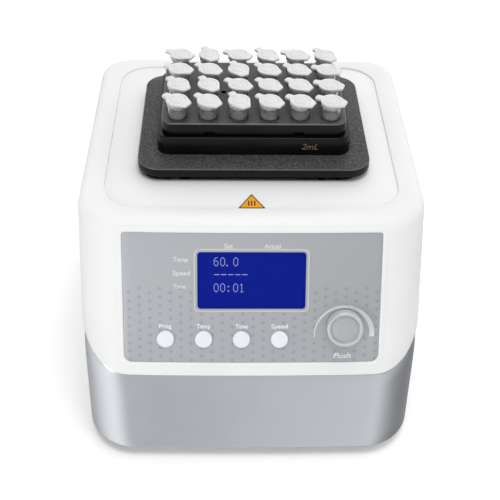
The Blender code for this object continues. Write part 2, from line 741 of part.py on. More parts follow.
def make_chassis():
    top = TOP_Z + CHASSIS_TOP
    low = top - CHASSIS_THICKNESS
    chassis = prism("chassis", rectangle((164.0, 124.0), 8.0, (0.0, BLOCK_Y), 3), low, top, "steel")
    for sx in (-1, 1):
        for sy in (-1, 1):
            profile = [(5.0, SHELL_BOTTOM_Z + 2.6), (5.0, low + 1.0)]
            leg = turned("leg", (sx * 72.0, BLOCK_Y + sy * 54.0), profile, "steel", flat, 12)
            fuse(chassis, leg)
    cut(chassis, turned("hole", (0.0, BLOCK_Y), [(8.0, low - 3.0), (8.0, top + 3.0)], "steel", flat, 24))
    for side in (-1, 1):
        x = side * IDLER_X
        sleeve = turned("sleeve", (x, BLOCK_Y), [(7.0, low - 6.0), (7.0, top + 4.0)], "steel", flat, 20)
        fuse(chassis, sleeve)
        cut(chassis, turned("bore", (x, BLOCK_Y), [(3.5, low - 9.0), (3.5, top + 9.0)], "steel", flat, 20))


# ---------------------------------------------------------------- rear and power

def make_fan():
    rear = rear_y(FAN_Z + FAN_SIZE / 2) - lower_inset(FAN_Z + FAN_SIZE / 2) - WALL - GAP
    front = rear - FAN_DEPTH
    outer = square_ring(FAN_SIZE, 32)
    frame = ring_solid("fan_frame", outer, circle(FAN_X, FAN_Z, 28.0, 32), front, rear, "dark_plastic",
                       facing_back)
    arms = star_outline(13.0, 28.6, 3, 0.16)
    fuse(frame, prism("arms", arms, front, front + 2.5, "dark_plastic", facing_back))
    levels = []
    for i in range(4):
        levels.append((star_outline(12.0, 26.5, 7, 0.55, 0.28 * i), front + 3.2 + 3.4 * i))
    stack("fan_rotor", levels, "dark_plastic", facing_back, (FAN_X, rear, FAN_Z))


def square_ring(size, count):
    """Points round a square, matched one to one with a circle of the same count."""
    points = []
    for u, v in circle(0.0, 0.0, 1.0, count):
        scale = (size / 2) / max(abs(u), abs(v))
        points.append((FAN_X + u * scale, FAN_Z + v * scale))
    return points


def star_outline(hub, tip, arms, share, turn=0.0):
    """Hub with straight arms: each arm fills share of its sector."""
    sector = 2 * pi / arms
    points = []
    for i in range(arms):
        start = i * sector + turn
        for offset, radius in ((0.0, hub), (0.0, tip), (share / 2, tip), (share, tip), (share, hub)):
            angle = start + offset * sector
            points.append((FAN_X + radius * cos(angle), FAN_Z + radius * sin(angle)))
        middle = start + (1 + share) / 2 * sector
        points.append((FAN_X + hub * cos(middle), FAN_Z + hub * sin(middle)))
    return points


def make_inlet():
    """Power inlet and switch bay in one module through the rear wall."""
    wall = rear_y(INLET_Z)
    rim = rectangle(INLET_SIZE, 3.0, (INLET_X, INLET_Z), 3)
    inlet = prism("power_inlet", rim, wall, wall + 2.0, "dark_plastic", facing_back)
    body = rectangle(INLET_BODY, 1.2, (INLET_X, INLET_Z), 2)
    fuse(inlet, prism("body", body, wall - 26.0, wall + 1.0, "dark_plastic", facing_back))
    socket = rectangle((23.0, 16.0), 2.0, (INLET_X + SOCKET_OFFSET, INLET_Z), 2)
    cut(inlet, prism("socket", socket, wall - SOCKET_DEPTH, wall + 9.0, "dark_plastic", facing_back))
    bay = rectangle((14.0, 20.0), 0.0, (INLET_X + SWITCH_OFFSET, INLET_Z))
    cut(inlet, prism("bay", bay, wall - 12.0, wall + 9.0, "dark_plastic", facing_back))
    for x, z in ((-7.0, -2.0), (0.0, 2.0), (7.0, -2.0)):
        pin = rectangle((2.0, 4.0), 0.0, (INLET_X + SOCKET_OFFSET + x, INLET_Z + z))
        fuse(inlet, prism("pin", pin, wall - SOCKET_DEPTH - 1.0, wall - 2.0, "dark_plastic", facing_back))
    make_rocker(wall)


def make_rocker(wall):
    """Rocker: a shallow V as seen from the side, pivoting about X."""
    middle = INLET_X + SWITCH_OFFSET
    profile = [(wall - 4.4, -8.6), (wall + 0.2, -8.8), (wall - 0.6, 0.0), (wall + 1.4, 8.8),
               (wall - 2.6, 9.0), (wall - 7.5, 3.0), (wall - 7.5, -3.0)]
    outline = [(y, INLET_Z + z) for y, z in profile]
    prism("rocker_switch", outline, middle - 6.6, middle + 6.6, "dark_plastic", facing_side,
          (middle, wall - 4.0, INLET_Z))


def make_power_supply():
    low = SHELL_BOTTOM_Z + 6.0
    board = prism("power_supply", rectangle((112.0, 60.0), 0.0, (0.0, BLOCK_Y - 70.0)), low, low + 1.6,
                  "board_green")
    blocks = (((-35.0, -70.0), (24.0, 30.0), 26.0), ((0.0, -62.0), (30.0, 26.0), 22.0),
              ((34.0, -76.0), (22.0, 34.0), 24.0), ((-2.0, -88.0), (20.0, 12.0), 12.0))
    for centre, size, height in blocks:
        outline = rectangle(size, 0.0, (centre[0], BLOCK_Y + centre[1]))
        fuse(board, prism("block", outline, low + 0.8, low + height, "board_green"))


def main():
    clear_scene()
    make_upper_housing()
    make_lower_housing()
    make_base_plate()
    make_feet()
    make_control_panel()
    make_display()
    make_control_board()
    make_buttons()
    make_knob()
    make_deck()
    make_block_base()
    make_tube_block()
    make_tubes()
    make_heating()
    make_carrier()
    make_drive()
    make_chassis()
    make_fan()
    make_inlet()
    make_power_supply()


main()
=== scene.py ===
"""Looks of a bench-top block heater and mixer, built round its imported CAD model.

Lengths are in millimetres unless a name says otherwise; points become metres when a mesh is made.
Heights and places come from the CAD boxes, so the looks follow the frame.
"""
from math import acos, atan2, cos, pi, radians, sin, sqrt, tan

import bmesh
import bpy
from mathutils import Matrix, Vector


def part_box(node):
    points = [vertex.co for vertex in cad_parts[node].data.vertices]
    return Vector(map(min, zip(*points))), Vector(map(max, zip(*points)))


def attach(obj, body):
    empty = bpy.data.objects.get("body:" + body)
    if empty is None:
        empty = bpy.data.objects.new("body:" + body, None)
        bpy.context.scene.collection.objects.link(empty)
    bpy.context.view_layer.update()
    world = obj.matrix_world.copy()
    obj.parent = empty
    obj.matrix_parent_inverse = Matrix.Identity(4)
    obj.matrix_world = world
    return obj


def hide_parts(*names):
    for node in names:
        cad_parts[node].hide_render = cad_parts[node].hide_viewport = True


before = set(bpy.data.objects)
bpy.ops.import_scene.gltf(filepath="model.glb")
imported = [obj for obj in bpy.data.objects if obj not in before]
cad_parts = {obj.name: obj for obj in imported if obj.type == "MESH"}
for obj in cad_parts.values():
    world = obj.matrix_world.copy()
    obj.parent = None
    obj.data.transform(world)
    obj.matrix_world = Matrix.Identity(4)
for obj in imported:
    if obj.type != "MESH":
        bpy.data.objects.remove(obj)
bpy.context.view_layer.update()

MM = 0.001
GAP = 0.3      # clearance between neighbouring parts


def box_mm(node):
    low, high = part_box(node)
    return low / MM, high / MM


# ---- driving dimensions

upper_low, upper_high = box_mm("upper_housing")
lower_low = box_mm("lower_housing")[0]
deck_low, deck_high = box_mm("shaker_deck")
tray_low, tray_high = box_mm("block_base")
block_low, block_high = box_mm("tube_block")
lens_low, lens_high = box_mm("display_lens")
first_tube_low, first_tube_high = box_mm("tube_11")


def plan_size(low, high, grow=0.0):
    return (high.x - low.x + grow, high.y - low.y + grow)


BODY_WIDTH = upper_high.x - upper_low.x
TOP_Z = upper_high.z
SHELL_BOTTOM_Z = lower_low.z
BLOCK_Y = (deck_low.y + deck_high.y) / 2
BLOCK_X = (deck_low.x + deck_high.x) / 2
TRAY_Y = (tray_low.y + tray_high.y) / 2
EDGE_FILLET = 6.0
FRONT_LEAN = radians(26.6)
LOWER_LEAN = radians(5.4)
FRONT_BULGE = 1.6
TOP_RADIUS = 25.0
BOTTOM_RADIUS = 29.2
REAR_RADIUS = 20.0
REAR_FROM_BLOCK = 89.7
REAR_DRAFT = 2.3
WALL = 3.0
FRONT_WALL = 5.0
LOWER_SET_BACK = 1.35      # at the back of the seam; it tapers to nothing at the bottom
SEAM_FRONT_Z = TOP_Z - 80.1
SEAM_BACK_Z = TOP_Z - 50.0
SEAM_RUN = 60.0
SEAM_EASE = 1.5
SEAM_LEAD = 1.0             # the sweep starts this far in front of the front wall
PANEL_Y = BLOCK_Y - 91.4
PANEL_Z = TOP_Z - 6.0
PANEL_SIZE = (142.5, 74.6)
PANEL_RADII = (4.5, 1.7)      # lower corners, upper corners
PANEL_RECESS = 1.9
BUTTON_T = 60.6
BUTTON_RADIUS = 4.8
BUTTON_XS = {"button_prog": -48.0, "button_temp": -26.8, "button_time": -5.8, "button_speed": 15.4}
KNOB_X = 51.3
KNOB_T = 53.3
LENS_TOP, LENS_BOTTOM = 8.9, 45.0
LENS_CENTRE = ((lens_low.x + lens_high.x) / 2, (LENS_TOP + LENS_BOTTOM) / 2)
LENS_SIZE = (lens_high.x - lens_low.x, LENS_BOTTOM - LENS_TOP)
LENS_RADIUS = 3.0
TUBE_PITCH = 17.5
TUBE_COLUMNS = 6
TUBE_ROWS = 4
LID_TOP = first_tube_high.z
WELL_RADIUS = 5.5
FAN_X, FAN_Z = -46.0, 46.0
VENT_WIDTH, VENT_RADIUS = 3.0, 1.4
VENT_PITCH = 6.0
VENT_ROUND = 26.0            # radius of the round field of vents over the fan
SIDE_VENT_HEIGHT, SIDE_VENT_PITCH, SIDE_VENT_Z = 26.0, 8.0, 34.0
INLET_SIZE = (56.6, 24.6)
INLET_X, INLET_Z = 50.0, 42.0
RECESS_SIZE = (166.8, 153.4)
RECESS_RADIUS = 20.0
OPENING_SIZE = (126.0, 99.0)
OPENING_RADIUS = 12.0


# ---- camera and light

CAMERA_TILT, CAMERA_YAW, CAMERA_ROLL = 40.61, 1.934, 1.376      # degrees
CAMERA_PLACE = (-14.53, BLOCK_Y - 484.11, TOP_Z + 318.84)
CAMERA_LENS = 67.79


def make_camera():
    """Camera at the photograph's viewing angle, from its tilt, yaw and roll."""
    data = bpy.data.cameras.new("camera")
    data.sensor_width = 36.0
    data.lens = CAMERA_LENS
    data.clip_start, data.clip_end = 0.01, 20.0
    camera = bpy.data.objects.new("camera", data)
    turn = Matrix.Identity(4)
    for degrees, axis in ((-CAMERA_YAW, "Z"), (90 - CAMERA_TILT, "X"), (CAMERA_ROLL, "Z")):
        turn = turn @ Matrix.Rotation(radians(degrees), 4, axis)
    camera.matrix_world = Matrix.Translation(Vector(CAMERA_PLACE) * MM) @ turn
    bpy.context.scene.collection.objects.link(camera)
    bpy.context.scene.camera = camera


# Name, place in metres, side of the square in metres, watts.
LIGHTS = (("overhead", (0.0, -0.25, 1.5), 0.7, 9.4), ("key", (-0.90, -0.95, 0.24), 0.18, 4.5))
LIGHT_TARGET = (0.0, 0.0, 0.1)


def area_light(name, place, side, power):
    data = bpy.data.lights.new(name, "AREA")
    data.shape = "SQUARE"
    data.size = side
    data.energy = power
    light = bpy.data.objects.new(name, data)
    light.location = place
    aim = Vector(LIGHT_TARGET) - Vector(place)
    light.rotation_euler = aim.to_track_quat("-Z", "Y").to_euler()
    bpy.context.scene.collection.objects.link(light)


# Brightness round the studio by compass angle in degrees, 0 in front, right positive.
LOW_WALL = ((-180, 0.35), (-115, 0.60), (-85, 1.15), (-60, 1.50), (-42, 1.45), (-25, 0.80), (-8, 0.62),
            (0, 0.74), (12, 1.04), (28, 1.12), (45, 0.80), (65, 0.42), (95, 0.24), (130, 0.34), (180, 0.35))
HIGH_WALL = ((-180, 1.45), (-130, 0.65), (-95, 0.16), (-65, 0.10), (-45, 0.15), (-26, 0.95), (-6, 1.02),
             (4, 0.70), (11, 0.30), (20, 0.30), (60, 0.92), (120, 1.05), (180, 1.45))
WALL_MEETING = (-0.25, 0.0)     # heights, as sines, between which the low wall turns into the high one
WORLD_PEAK = 2.0


def make_world():
    """Soft studio whose upper and lower walls have their own brightness round the compass."""
    world = bpy.data.worlds.new("studio")
    world.use_nodes = True
    source = node(world, "ShaderNodeTexCoord")
    split = node(world, "ShaderNodeSeparateXYZ")
    link(world, source, "Generated", split, "Vector")
    angle = math(world, "ARCTAN2", (split, "X"), math(world, "MULTIPLY", (split, "Y"), -1.0))
    share = map_range(world, *angle, (-pi, pi))
    height = map_range(world, split, "Z", WALL_MEETING)
    mix = node(world, "ShaderNodeMix", data_type="RGBA")
    link(world, height, "Result", mix, 0)
    for index, wall in enumerate((LOW_WALL, HIGH_WALL)):
        stops = [((degree + 180) / 360, grey(value / WORLD_PEAK)) for degree, value in wall]
        link(world, colour_ramp(world, share, "Result", stops), "Color", mix, 6 + index)
    background = world.node_tree.nodes["Background"]
    link(world, mix, 2, background, "Color")
    background.inputs["Strength"].default_value = WORLD_PEAK
    bpy.context.scene.world = world


def make_light():
    make_world()
    for name, place, side, power in LIGHTS:
        area_light(name, place, side, power)
    bpy.context.scene.view_settings.view_transform = "Standard"


def make_floor():
    mesh = bmesh.new()
    bmesh.ops.create_grid(mesh, x_segments=1, y_segments=1, size=6.0)
    data = bpy.data.meshes.new("floor")
    mesh.to_mesh(data)
    mesh.free()
    floor = bpy.data.objects.new("floor", data)
    shade = new_material("floor_white")
    set_inputs(shade, {"Base Color": (0.92, 0.92, 0.92, 1), "Roughness": 0.9, "Specular IOR Level": 0.0,
                       "Emission Color": (1, 1, 1, 1), "Emission Strength": 0.12})
    data.materials.append(shade)
    floor.visible_glossy = False
    bpy.context.scene.collection.objects.link(floor)


# ---- materials

def new_material(name):
    made = bpy.data.materials.new(name)
    made.use_nodes = True
    return made


def shader_of(made):
    return made.node_tree.nodes["Principled BSDF"]


def set_inputs(made, values):
    shader = shader_of(made)
    for name, value in values.items():
        shader.inputs[name].default_value = value


def node(made, kind, **values):
    """Add a node; names of its inputs take values, other names are its own settings."""
    item = made.node_tree.nodes.new(kind)
    for name, value in values.items():
        if name in item.inputs.keys():
            item.inputs[name].default_value = value
        else:
            setattr(item, name, value)
    return item


def link(made, source, output, target, target_input):
    made.node_tree.links.new(source.outputs[output], target.inputs[target_input])


def coordinates(made):
    """Object coordinates in millimetres."""
    source = node(made, "ShaderNodeTexCoord")
    mapping = node(made, "ShaderNodeMapping", Scale=(1 / MM, 1 / MM, 1 / MM))
    link(made, source, "Object", mapping, "Vector")
    return mapping


def noise(made, scale, detail=2.0):
    texture = node(made, "ShaderNodeTexNoise", Scale=scale, Detail=detail)
    link(made, coordinates(made), "Vector", texture, "Vector")
    return texture


def map_range(made, source, output, span, result=(0.0, 1.0), **settings):
    """Node that maps one span of values to another, fed by a node's output."""
    item = node(made, "ShaderNodeMapRange", **settings)
    for name, value in zip(("From Min", "From Max", "To Min", "To Max"), (*span, *result)):
        item.inputs[name].default_value = value
    link(made, source, output, item, "Value")
    return item


def colour_ramp(made, source, output, stops):
    """Colour ramp with (position, colour) stops, fed by a node's output."""
    item = node(made, "ShaderNodeValToRGB")
    elements = item.color_ramp.elements
    for element, (position, colour) in zip(elements, (stops[0], stops[-1])):
        element.position = position
        element.color = (*colour, 1)
    for position, colour in stops[1:-1]:
        elements.new(position).color = (*colour, 1)
    link(made, source, output, item, "Fac")
    return item


def math(made, operation, first, second=None):
    """Output of a maths node; each operand is a number or another (node, output) pair."""
    item = node(made, "ShaderNodeMath", operation=operation)
    for index, operand in enumerate((first, second)):
        if isinstance(operand, tuple):
            link(made, *operand, item, index)
        elif operand is not None:
            item.inputs[index].default_value = operand
    return item, 0


def add_bump(made, height, output, strength, distance_mm):
    bump = node(made, "ShaderNodeBump", Strength=strength, Distance=distance_mm * MM)
    link(made, height, output, bump, "Height")
    link(made, bump, "Normal", shader_of(made), "Normal")


def vary(made, texture, output, low, high, target):
    """Drive one shader input between low and high with a texture."""
    spread = map_range(made, texture, output, (0.3, 0.7), (low, high))
    link(made, spread, "Result", shader_of(made), target)


def tint(made, texture, output, low, high, span=(0.35, 0.65)):
    """Base colour between two tones, following a texture."""
    ramp = colour_ramp(made, texture, output, ((span[0], low), (span[1], high)))
    link(made, ramp, "Color", shader_of(made), "Base Color")


def plain(name, low, high, roughness, grain, bump, metallic=0.0, specular=0.5):
    """Moulded, painted or machined surface: two close tones, uneven gloss and a fine grain."""
    made = new_material(name)
    set_inputs(made, {"Metallic": metallic, "Specular IOR Level": specular})
    clouds = noise(made, 0.03)
    tint(made, clouds, "Fac", low, high)
    vary(made, clouds, "Fac", *roughness, "Roughness")
    add_bump(made, noise(made, grain, 3.0), "Fac", *bump)
    return made


def speckled(name, low, high, grain, roughness, metallic):
    """Blasted surface whose two tones and gloss follow one fine grain."""
    made = new_material(name)
    set_inputs(made, {"Metallic": metallic})
    fine = noise(made, grain, 3.0)
    tint(made, fine, "Fac", low, high)
    vary(made, fine, "Fac", *roughness, "Roughness")
    add_bump(made, fine, "Fac", 0.6, 0.08)
    return made


def grey(value, warm=0.0):
    return (value * (1 + warm), value, value * (1 - warm))


PRINTED = ((0.5, 0.6), 5.0, (0.05, 0.01))
GLOSSY_PRINT = ((0.4, 0.5), 5.0, (0.05, 0.01))
# Each plain finish: darker and lighter tone, roughness, grains per mm, bump strength and height,
# and then metallic and specular where they differ from 0 and 0.5.
FINISHES = {
    "white": ((0.730, 0.732, 0.735), (0.748, 0.750, 0.753), (0.50, 0.56), 1.6, (0.08, 0.02), 0.0, 0.3),
    "silver": ((0.52, 0.54, 0.57), (0.54, 0.56, 0.59), (0.30, 0.34), 6.0, (0.05, 0.01), 0.9),
    "button": ((0.70, 0.72, 0.765), (0.72, 0.74, 0.785), (0.32, 0.38), 3.0, (0.08, 0.02)),
    "knob": ((0.52, 0.53, 0.545), (0.55, 0.56, 0.575), (0.40, 0.48), 5.0, (0.3, 0.04), 0.3),
    "rubber": (grey(0.018), grey(0.03), (0.75, 0.9), 3.0, (0.3, 0.05)),
    "dark": (grey(0.02), grey(0.028), (0.42, 0.55), 4.0, (0.25, 0.03)),
    "steel": (grey(0.48), grey(0.58), (0.25, 0.4), 2.0, (0.15, 0.03), 1.0),
    "board": ((0.02, 0.16, 0.06), (0.03, 0.22, 0.09), (0.35, 0.5), 2.0, (0.2, 0.05)),
    "heater": ((0.55, 0.26, 0.05), (0.66, 0.34, 0.08), (0.35, 0.5), 0.8, (0.2, 0.05)),
    "felt": (grey(0.62, 0.03), grey(0.72, 0.03), (0.9, 1.0), 2.5, (0.8, 0.3)),
    "motor": ((0.50, 0.27, 0.12), (0.60, 0.33, 0.15), (0.3, 0.45), 1.0, (0.15, 0.03), 0.8),
    "anodised": (grey(0.0012), grey(0.0020), (0.24, 0.30), 8.0, (0.2, 0.02), 0.0, 0.24),
    # lighter grey for the rolled edges round top faces: a painted highlight
    "painted_edge_highlight": (grey(0.050), grey(0.062), (0.30, 0.36), 8.0, (0.2, 0.02), 0.0, 0.6),
    # lighter copy of the anodised finish for the block's top faces: light from above painted into the colour
    "block_top_painted_lit": (grey(0.042), grey(0.054), (0.40, 0.50), 9.0, (0.35, 0.04), 0.0, 0.4),
    # near-black for the deck's sides and underside: shade painted darker than the powder-coated top
    "deck_sides_painted_shade": (grey(0.005), grey(0.007), (0.35, 0.45), 5.0, (0.2, 0.03), 0.0, 0.15),
    "print": (grey(0.78), grey(0.80), *PRINTED),
    "print_soft": (grey(0.64), grey(0.66), *PRINTED),
    "frame": ((0.50, 0.52, 0.54), (0.52, 0.54, 0.56), *GLOSSY_PRINT),
    "arc": (grey(0.60, -0.02), grey(0.62, -0.02), *GLOSSY_PRINT),
    "bezel": ((0.33, 0.34, 0.345), (0.35, 0.36, 0.365), *GLOSSY_PRINT),
    "mark": ((0.16, 0.105, 0.055), (0.19, 0.12, 0.06), (0.4, 0.5), 4.0, (0.1, 0.02)),
    "amber": ((0.72, 0.29, 0.010), (0.75, 0.31, 0.013), (0.5, 0.6), 3.0, (0.05, 0.01), 0.0, 0.15),
    "ink": ((0.014, 0.010, 0.008), (0.018, 0.013, 0.010), (0.5, 0.6), 3.0, (0.05, 0.01)),
    "lid": (grey(0.57), grey(0.66), (0.30, 0.40), 1.2, (0.12, 0.05)),
    "skirt": ((0.62, 0.63, 0.635), (0.68, 0.69, 0.695), (0.30, 0.40), 1.2, (0.12, 0.05)),
    "sample": (grey(0.26), grey(0.30), (0.15, 0.25), 0.6, (0.1, 0.05)),
}


def make_materials():
    made = {name: plain(name, *finish) for name, finish in FINISHES.items()}
    set_inputs(made["skirt"], {"Transmission Weight": 0.5, "IOR": 1.3})
    made["knob_face"] = speckled("knob_face", (0.40, 0.41, 0.425), (0.47, 0.48, 0.495), 1.5, (0.4, 0.5), 0.3)
    made["deck"] = deck_material()
    made["panel"] = panel_material()
    made["blue"] = lit_material("display_blue", (0.0040, 0.0115, 0.225), 0.9)
    made["digit"] = lit_material("display_digit", (0.36, 0.39, 0.66), 0.85)
    made["lens"] = lens_material()
    made["tube"] = tube_material()
    return made


def deck_material():
    """Powder coat with fine sparkling flakes."""
    made = new_material("deck_powder")
    flakes = node(made, "ShaderNodeTexVoronoi", Scale=2.7)
    link(made, coordinates(made), "Vector", flakes, "Vector")
    split = node(made, "ShaderNodeSeparateColor")
    link(made, flakes, "Color", split, "Color")
    tint(made, split, "Red", (0.018, 0.018, 0.019), (0.108, 0.108, 0.111), (0.55, 0.95))
    set_inputs(made, {"Specular IOR Level": 0.35})
    vary(made, split, "Green", 0.40, 0.75, "Roughness")
    add_bump(made, noise(made, 2.2, 4.0), "Fac", 0.5, 0.12)
    return made


DOT_COLUMN_PITCH = 5.71
DOT_ROW_PITCH = 4.88
DOT_RADIUS = 1.0
DOT_FIRST_X = -67.9
DOT_TOP_T = 30.3
ARC_CENTRE = (51.5, 58.3)
ARC_RADIUS = 17.0


def panel_material():
    """Silver-grey foil printed with staggered columns of soft darker dots on its lower part."""
    made = new_material("panel_foil")
    set_inputs(made, {"Metallic": 0.45})
    source = node(made, "ShaderNodeTexCoord")
    split = node(made, "ShaderNodeSeparateXYZ")
    link(made, source, "Object", split, "Vector")

    def calc(operation, first, second=None):
        return math(made, operation, first, second)

    slope = calc("DIVIDE", calc("SUBTRACT", PANEL_Z * MM, (split, "Z")), cos(FRONT_LEAN) * MM)
    column = calc("DIVIDE", calc("SUBTRACT", (split, "X"), DOT_FIRST_X * MM), DOT_COLUMN_PITCH * MM)
    nearest = calc("ROUND", column)
    side = calc("MULTIPLY", calc("SUBTRACT", column, nearest), DOT_COLUMN_PITCH)
    shift = calc("MULTIPLY", calc("PINGPONG", nearest, 1.0), DOT_ROW_PITCH / 2)
    row = calc("DIVIDE", calc("SUBTRACT", slope, shift), DOT_ROW_PITCH)
    along = calc("MULTIPLY", calc("SUBTRACT", row, calc("ROUND", row)), DOT_ROW_PITCH)
    distance = calc("SQRT", calc("ADD", calc("MULTIPLY", side, side), calc("MULTIPLY", along, along)))
    dot = map_range(made, *distance, (DOT_RADIUS * 1.35, DOT_RADIUS * 0.65), interpolation_type="SMOOTHSTEP")
    aside = calc("DIVIDE", calc("SUBTRACT", (split, "X"), ARC_CENTRE[0] * MM), MM)
    below = calc("SUBTRACT", slope, ARC_CENTRE[1])
    reach = calc("ADD", calc("POWER", aside, 2.0), calc("POWER", below, 2.0))
    outside = calc("GREATER_THAN", reach, (ARC_RADIUS - 0.5) ** 2)
    allowed = calc("MAXIMUM", outside, calc("GREATER_THAN", below, 2.0))
    clear = calc("MULTIPLY", calc("GREATER_THAN", slope, DOT_TOP_T), allowed)
    mix = node(made, "ShaderNodeMix", data_type="RGBA")
    mix.inputs[6].default_value = (0.420, 0.434, 0.457, 1)
    mix.inputs[7].default_value = (0.350, 0.362, 0.386, 1)
    link(made, *calc("MULTIPLY", (dot, "Result"), clear), mix, 0)
    link(made, mix, 2, shader_of(made), "Base Color")
    grain = noise(made, 2.4, 4.0)
    vary(made, grain, "Fac", 0.36, 0.46, "Roughness")
    add_bump(made, grain, "Fac", 0.15, 0.02)
    return made


def lit_material(name, colour, strength):
    """Lit face of the display; its unlit colour is about a third as bright."""
    made = new_material(name)
    lit, low, high = [tuple(value * share for value in colour) for share in (0.96, 0.30, 0.32)]
    tint(made, noise(made, 0.2), "Fac", low, high)
    set_inputs(made, {"Emission Color": (*lit, 1), "Emission Strength": strength, "Roughness": 0.4,
                      "Specular IOR Level": 0.02})
    return made


def lens_material():
    made = new_material("lens_clear")
    set_inputs(made, {"Base Color": (1, 1, 1, 1), "Transmission Weight": 1.0, "IOR": 1.02,
                      "Specular IOR Level": 0.25})
    vary(made, noise(made, 0.1), "Fac", 0.02, 0.05, "Roughness")
    return made


def tube_material():
    """Slightly milky polypropylene."""
    made = new_material("tube_clear")
    set_inputs(made, {"Transmission Weight": 0.92, "IOR": 1.25, "Specular IOR Level": 0.6})
    clouds = noise(made, 0.15)
    tint(made, clouds, "Fac", (0.74, 0.75, 0.76), (0.82, 0.83, 0.84))
    vary(made, clouds, "Fac", 0.03, 0.06, "Roughness")
    return made


# ---- mesh helpers

def finish_mesh(name, mesh, made, sharp=35.0):
    """Turn a bmesh into a smooth-shaded object whose hard edges stay crisp."""
    bmesh.ops.recalc_face_normals(mesh, faces=mesh.faces)
    data = bpy.data.meshes.new(name)
    mesh.to_mesh(data)
    mesh.free()
    shade_mesh(data, sharp)
    data.materials.append(made)
    piece = bpy.data.objects.new(name, data)
    bpy.context.scene.collection.objects.link(piece)
    return piece


def shade_mesh(data, sharp=35.0):
    data.polygons.foreach_set("use_smooth", [True] * len(data.polygons))
    data.set_sharp_from_angle(angle=radians(sharp))


def skin(mesh, rings, closed=False):
    """Join equal rings of points given in millimetres; the ends are capped unless the skin is closed."""
    count = len(rings[0])
    rows = [[mesh.verts.new([value * MM for value in point]) for point in ring] for ring in rings]
    pairs = list(zip(rows, rows[1:]))
    if closed:
        pairs.append((rows[-1], rows[0]))
    for low, high in pairs:
        for i in range(count):
            j = (i + 1) % count
            mesh.faces.new((low[i], low[j], high[j], high[i]))
    if not closed:
        mesh.faces.new(rows[0])
        mesh.faces.new(rows[-1])


def loft(name, rings, made, closed=False, sharp=35.0):
    mesh = bmesh.new()
    skin(mesh, rings, closed)
    return finish_mesh(name, mesh, made, sharp)


def flat(u, v, w):
    return (u, v, w)


def facing_back(x, z, y):
    return (x, y, z)


def facing_side(y, z, x):
    return (x, y, z)


def bulge_at(x):
    return FRONT_BULGE * max(0.0, 1.0 - (x / (BODY_WIDTH / 2)) ** 2)


def panel_point(x, t, h, bulge):
    y = PANEL_Y - t * sin(FRONT_LEAN) - h * cos(FRONT_LEAN) + FRONT_BULGE - bulge
    z = PANEL_Z - t * cos(FRONT_LEAN) + h * sin(FRONT_LEAN)
    return (x, y, z)


def on_panel(x, t, h):
    """Place a point on the swelling panel: x across, t down the slope, h out of it."""
    return panel_point(x, t, h, bulge_at(x))


def on_panel_near(x_centre):
    """The same with the swell of one x, for a round part that stands square to the panel."""
    return lambda x, t, h: panel_point(x, t, h, bulge_at(x_centre))


def circle(cx, cy, radius, count):
    step = 2 * pi / count
    return [(cx + radius * cos(i * step), cy + radius * sin(i * step)) for i in range(count)]


def rounded(size, radius, centre=(0.0, 0.0), steps=12):
    """Outline of a rectangle with rounded corners, counter-clockwise."""
    points = []
    for sx, sy, start in ((1, 1, 0), (-1, 1, 90), (-1, -1, 180), (1, -1, 270)):
        for i in range(steps + 1):
            angle = radians(start + 90 * i / steps)
            x = centre[0] + sx * (size[0] / 2 - radius) + radius * cos(angle)
            y = centre[1] + sy * (size[1] / 2 - radius) + radius * sin(angle)
            points.append((x, y))
    return points


def stack(name, levels, made, place=flat, sharp=35.0, closed=False):
    """Solid through (outline, height) levels, set on the body by a placing function."""
    rings = [[place(u, v, height) for u, v in outline] for outline, height in levels]
    return loft(name, rings, made, closed, sharp)


def soft_block(name, size, radius, centre, low, high, made, edge, steps=4, low_edge=None):
    """Upright block with rounded vertical corners and rolled upper and lower edges."""
    low_edge = edge if low_edge is None else low_edge
    angles = [pi / 2 * i / steps for i in range(steps + 1)]
    roll = [(low_edge * (1 - sin(angle)), low + low_edge * (1 - cos(angle))) for angle in angles]
    roll += [(edge * (1 - cos(angle)), high - edge * (1 - sin(angle))) for angle in angles]
    levels = [(shrunk(size, radius, centre, inset), height) for inset, height in roll]
    return stack(name, levels, made, sharp=50.0)


def shrunk(size, radius, centre, inset):
    return rounded((size[0] - 2 * inset, size[1] - 2 * inset), max(radius - inset, 0.2), centre)


def turned(name, centre, profile, made, place=flat, count=64, sharp=35.0):
    levels = [(circle(centre[0], centre[1], radius, count), height) for radius, height in profile]
    return stack(name, levels, made, place, sharp)


def mesh_of(piece):
    """Keep a piece's mesh and drop its object."""
    data = piece.data
    bpy.data.objects.remove(piece, do_unlink=True)
    return data


def evaluated_mesh(piece):
    """New mesh of a piece as its modifiers or its text leave it."""
    graph = bpy.context.evaluated_depsgraph_get()
    return bpy.data.meshes.new_from_object(piece.evaluated_get(graph))


def combine(target, tool, operation="DIFFERENCE"):
    """Cut a tool out of a piece, or join it on; the piece keeps its one finish."""
    modifier = target.modifiers.new("combine", "BOOLEAN")
    modifier.operation = operation
    modifier.solver = "EXACT"
    modifier.object = tool
    result = evaluated_mesh(target)
    target.modifiers.clear()
    made = target.data.materials[0]
    target.data = result
    result.materials.clear()
    result.materials.append(made)
    result.polygons.foreach_set("material_index", [0] * len(result.polygons))
    shade_mesh(result)
    bpy.data.objects.remove(tool, do_unlink=True)


def cut(target, outline, heights, place=flat):
    """Cut a straight hole: an outline swept between two heights."""
    levels = [(outline, height) for height in heights]
    combine(target, stack("cutter", levels, target.data.materials[0], place))


# ---- body walls

FRONT_STEPS = 48
CORNER_STEPS = 18
SIDE_STEPS = 24
REAR_STEPS = 8
EDGE_STEPS = 24


def front_y(z):
    if z >= SEAM_FRONT_Z:
        return PANEL_Y - (PANEL_Z - z) * tan(FRONT_LEAN)
    return front_y(SEAM_FRONT_Z) - (SEAM_FRONT_Z - z) * tan(LOWER_LEAN)


def share_down(z):
    return (TOP_Z - z) / (TOP_Z - SHELL_BOTTOM_Z)


def rear_y(z):
    return BLOCK_Y + REAR_FROM_BLOCK + REAR_DRAFT * share_down(z)


def corner_radius(z):
    return TOP_RADIUS + (BOTTOM_RADIUS - TOP_RADIUS) * share_down(z)


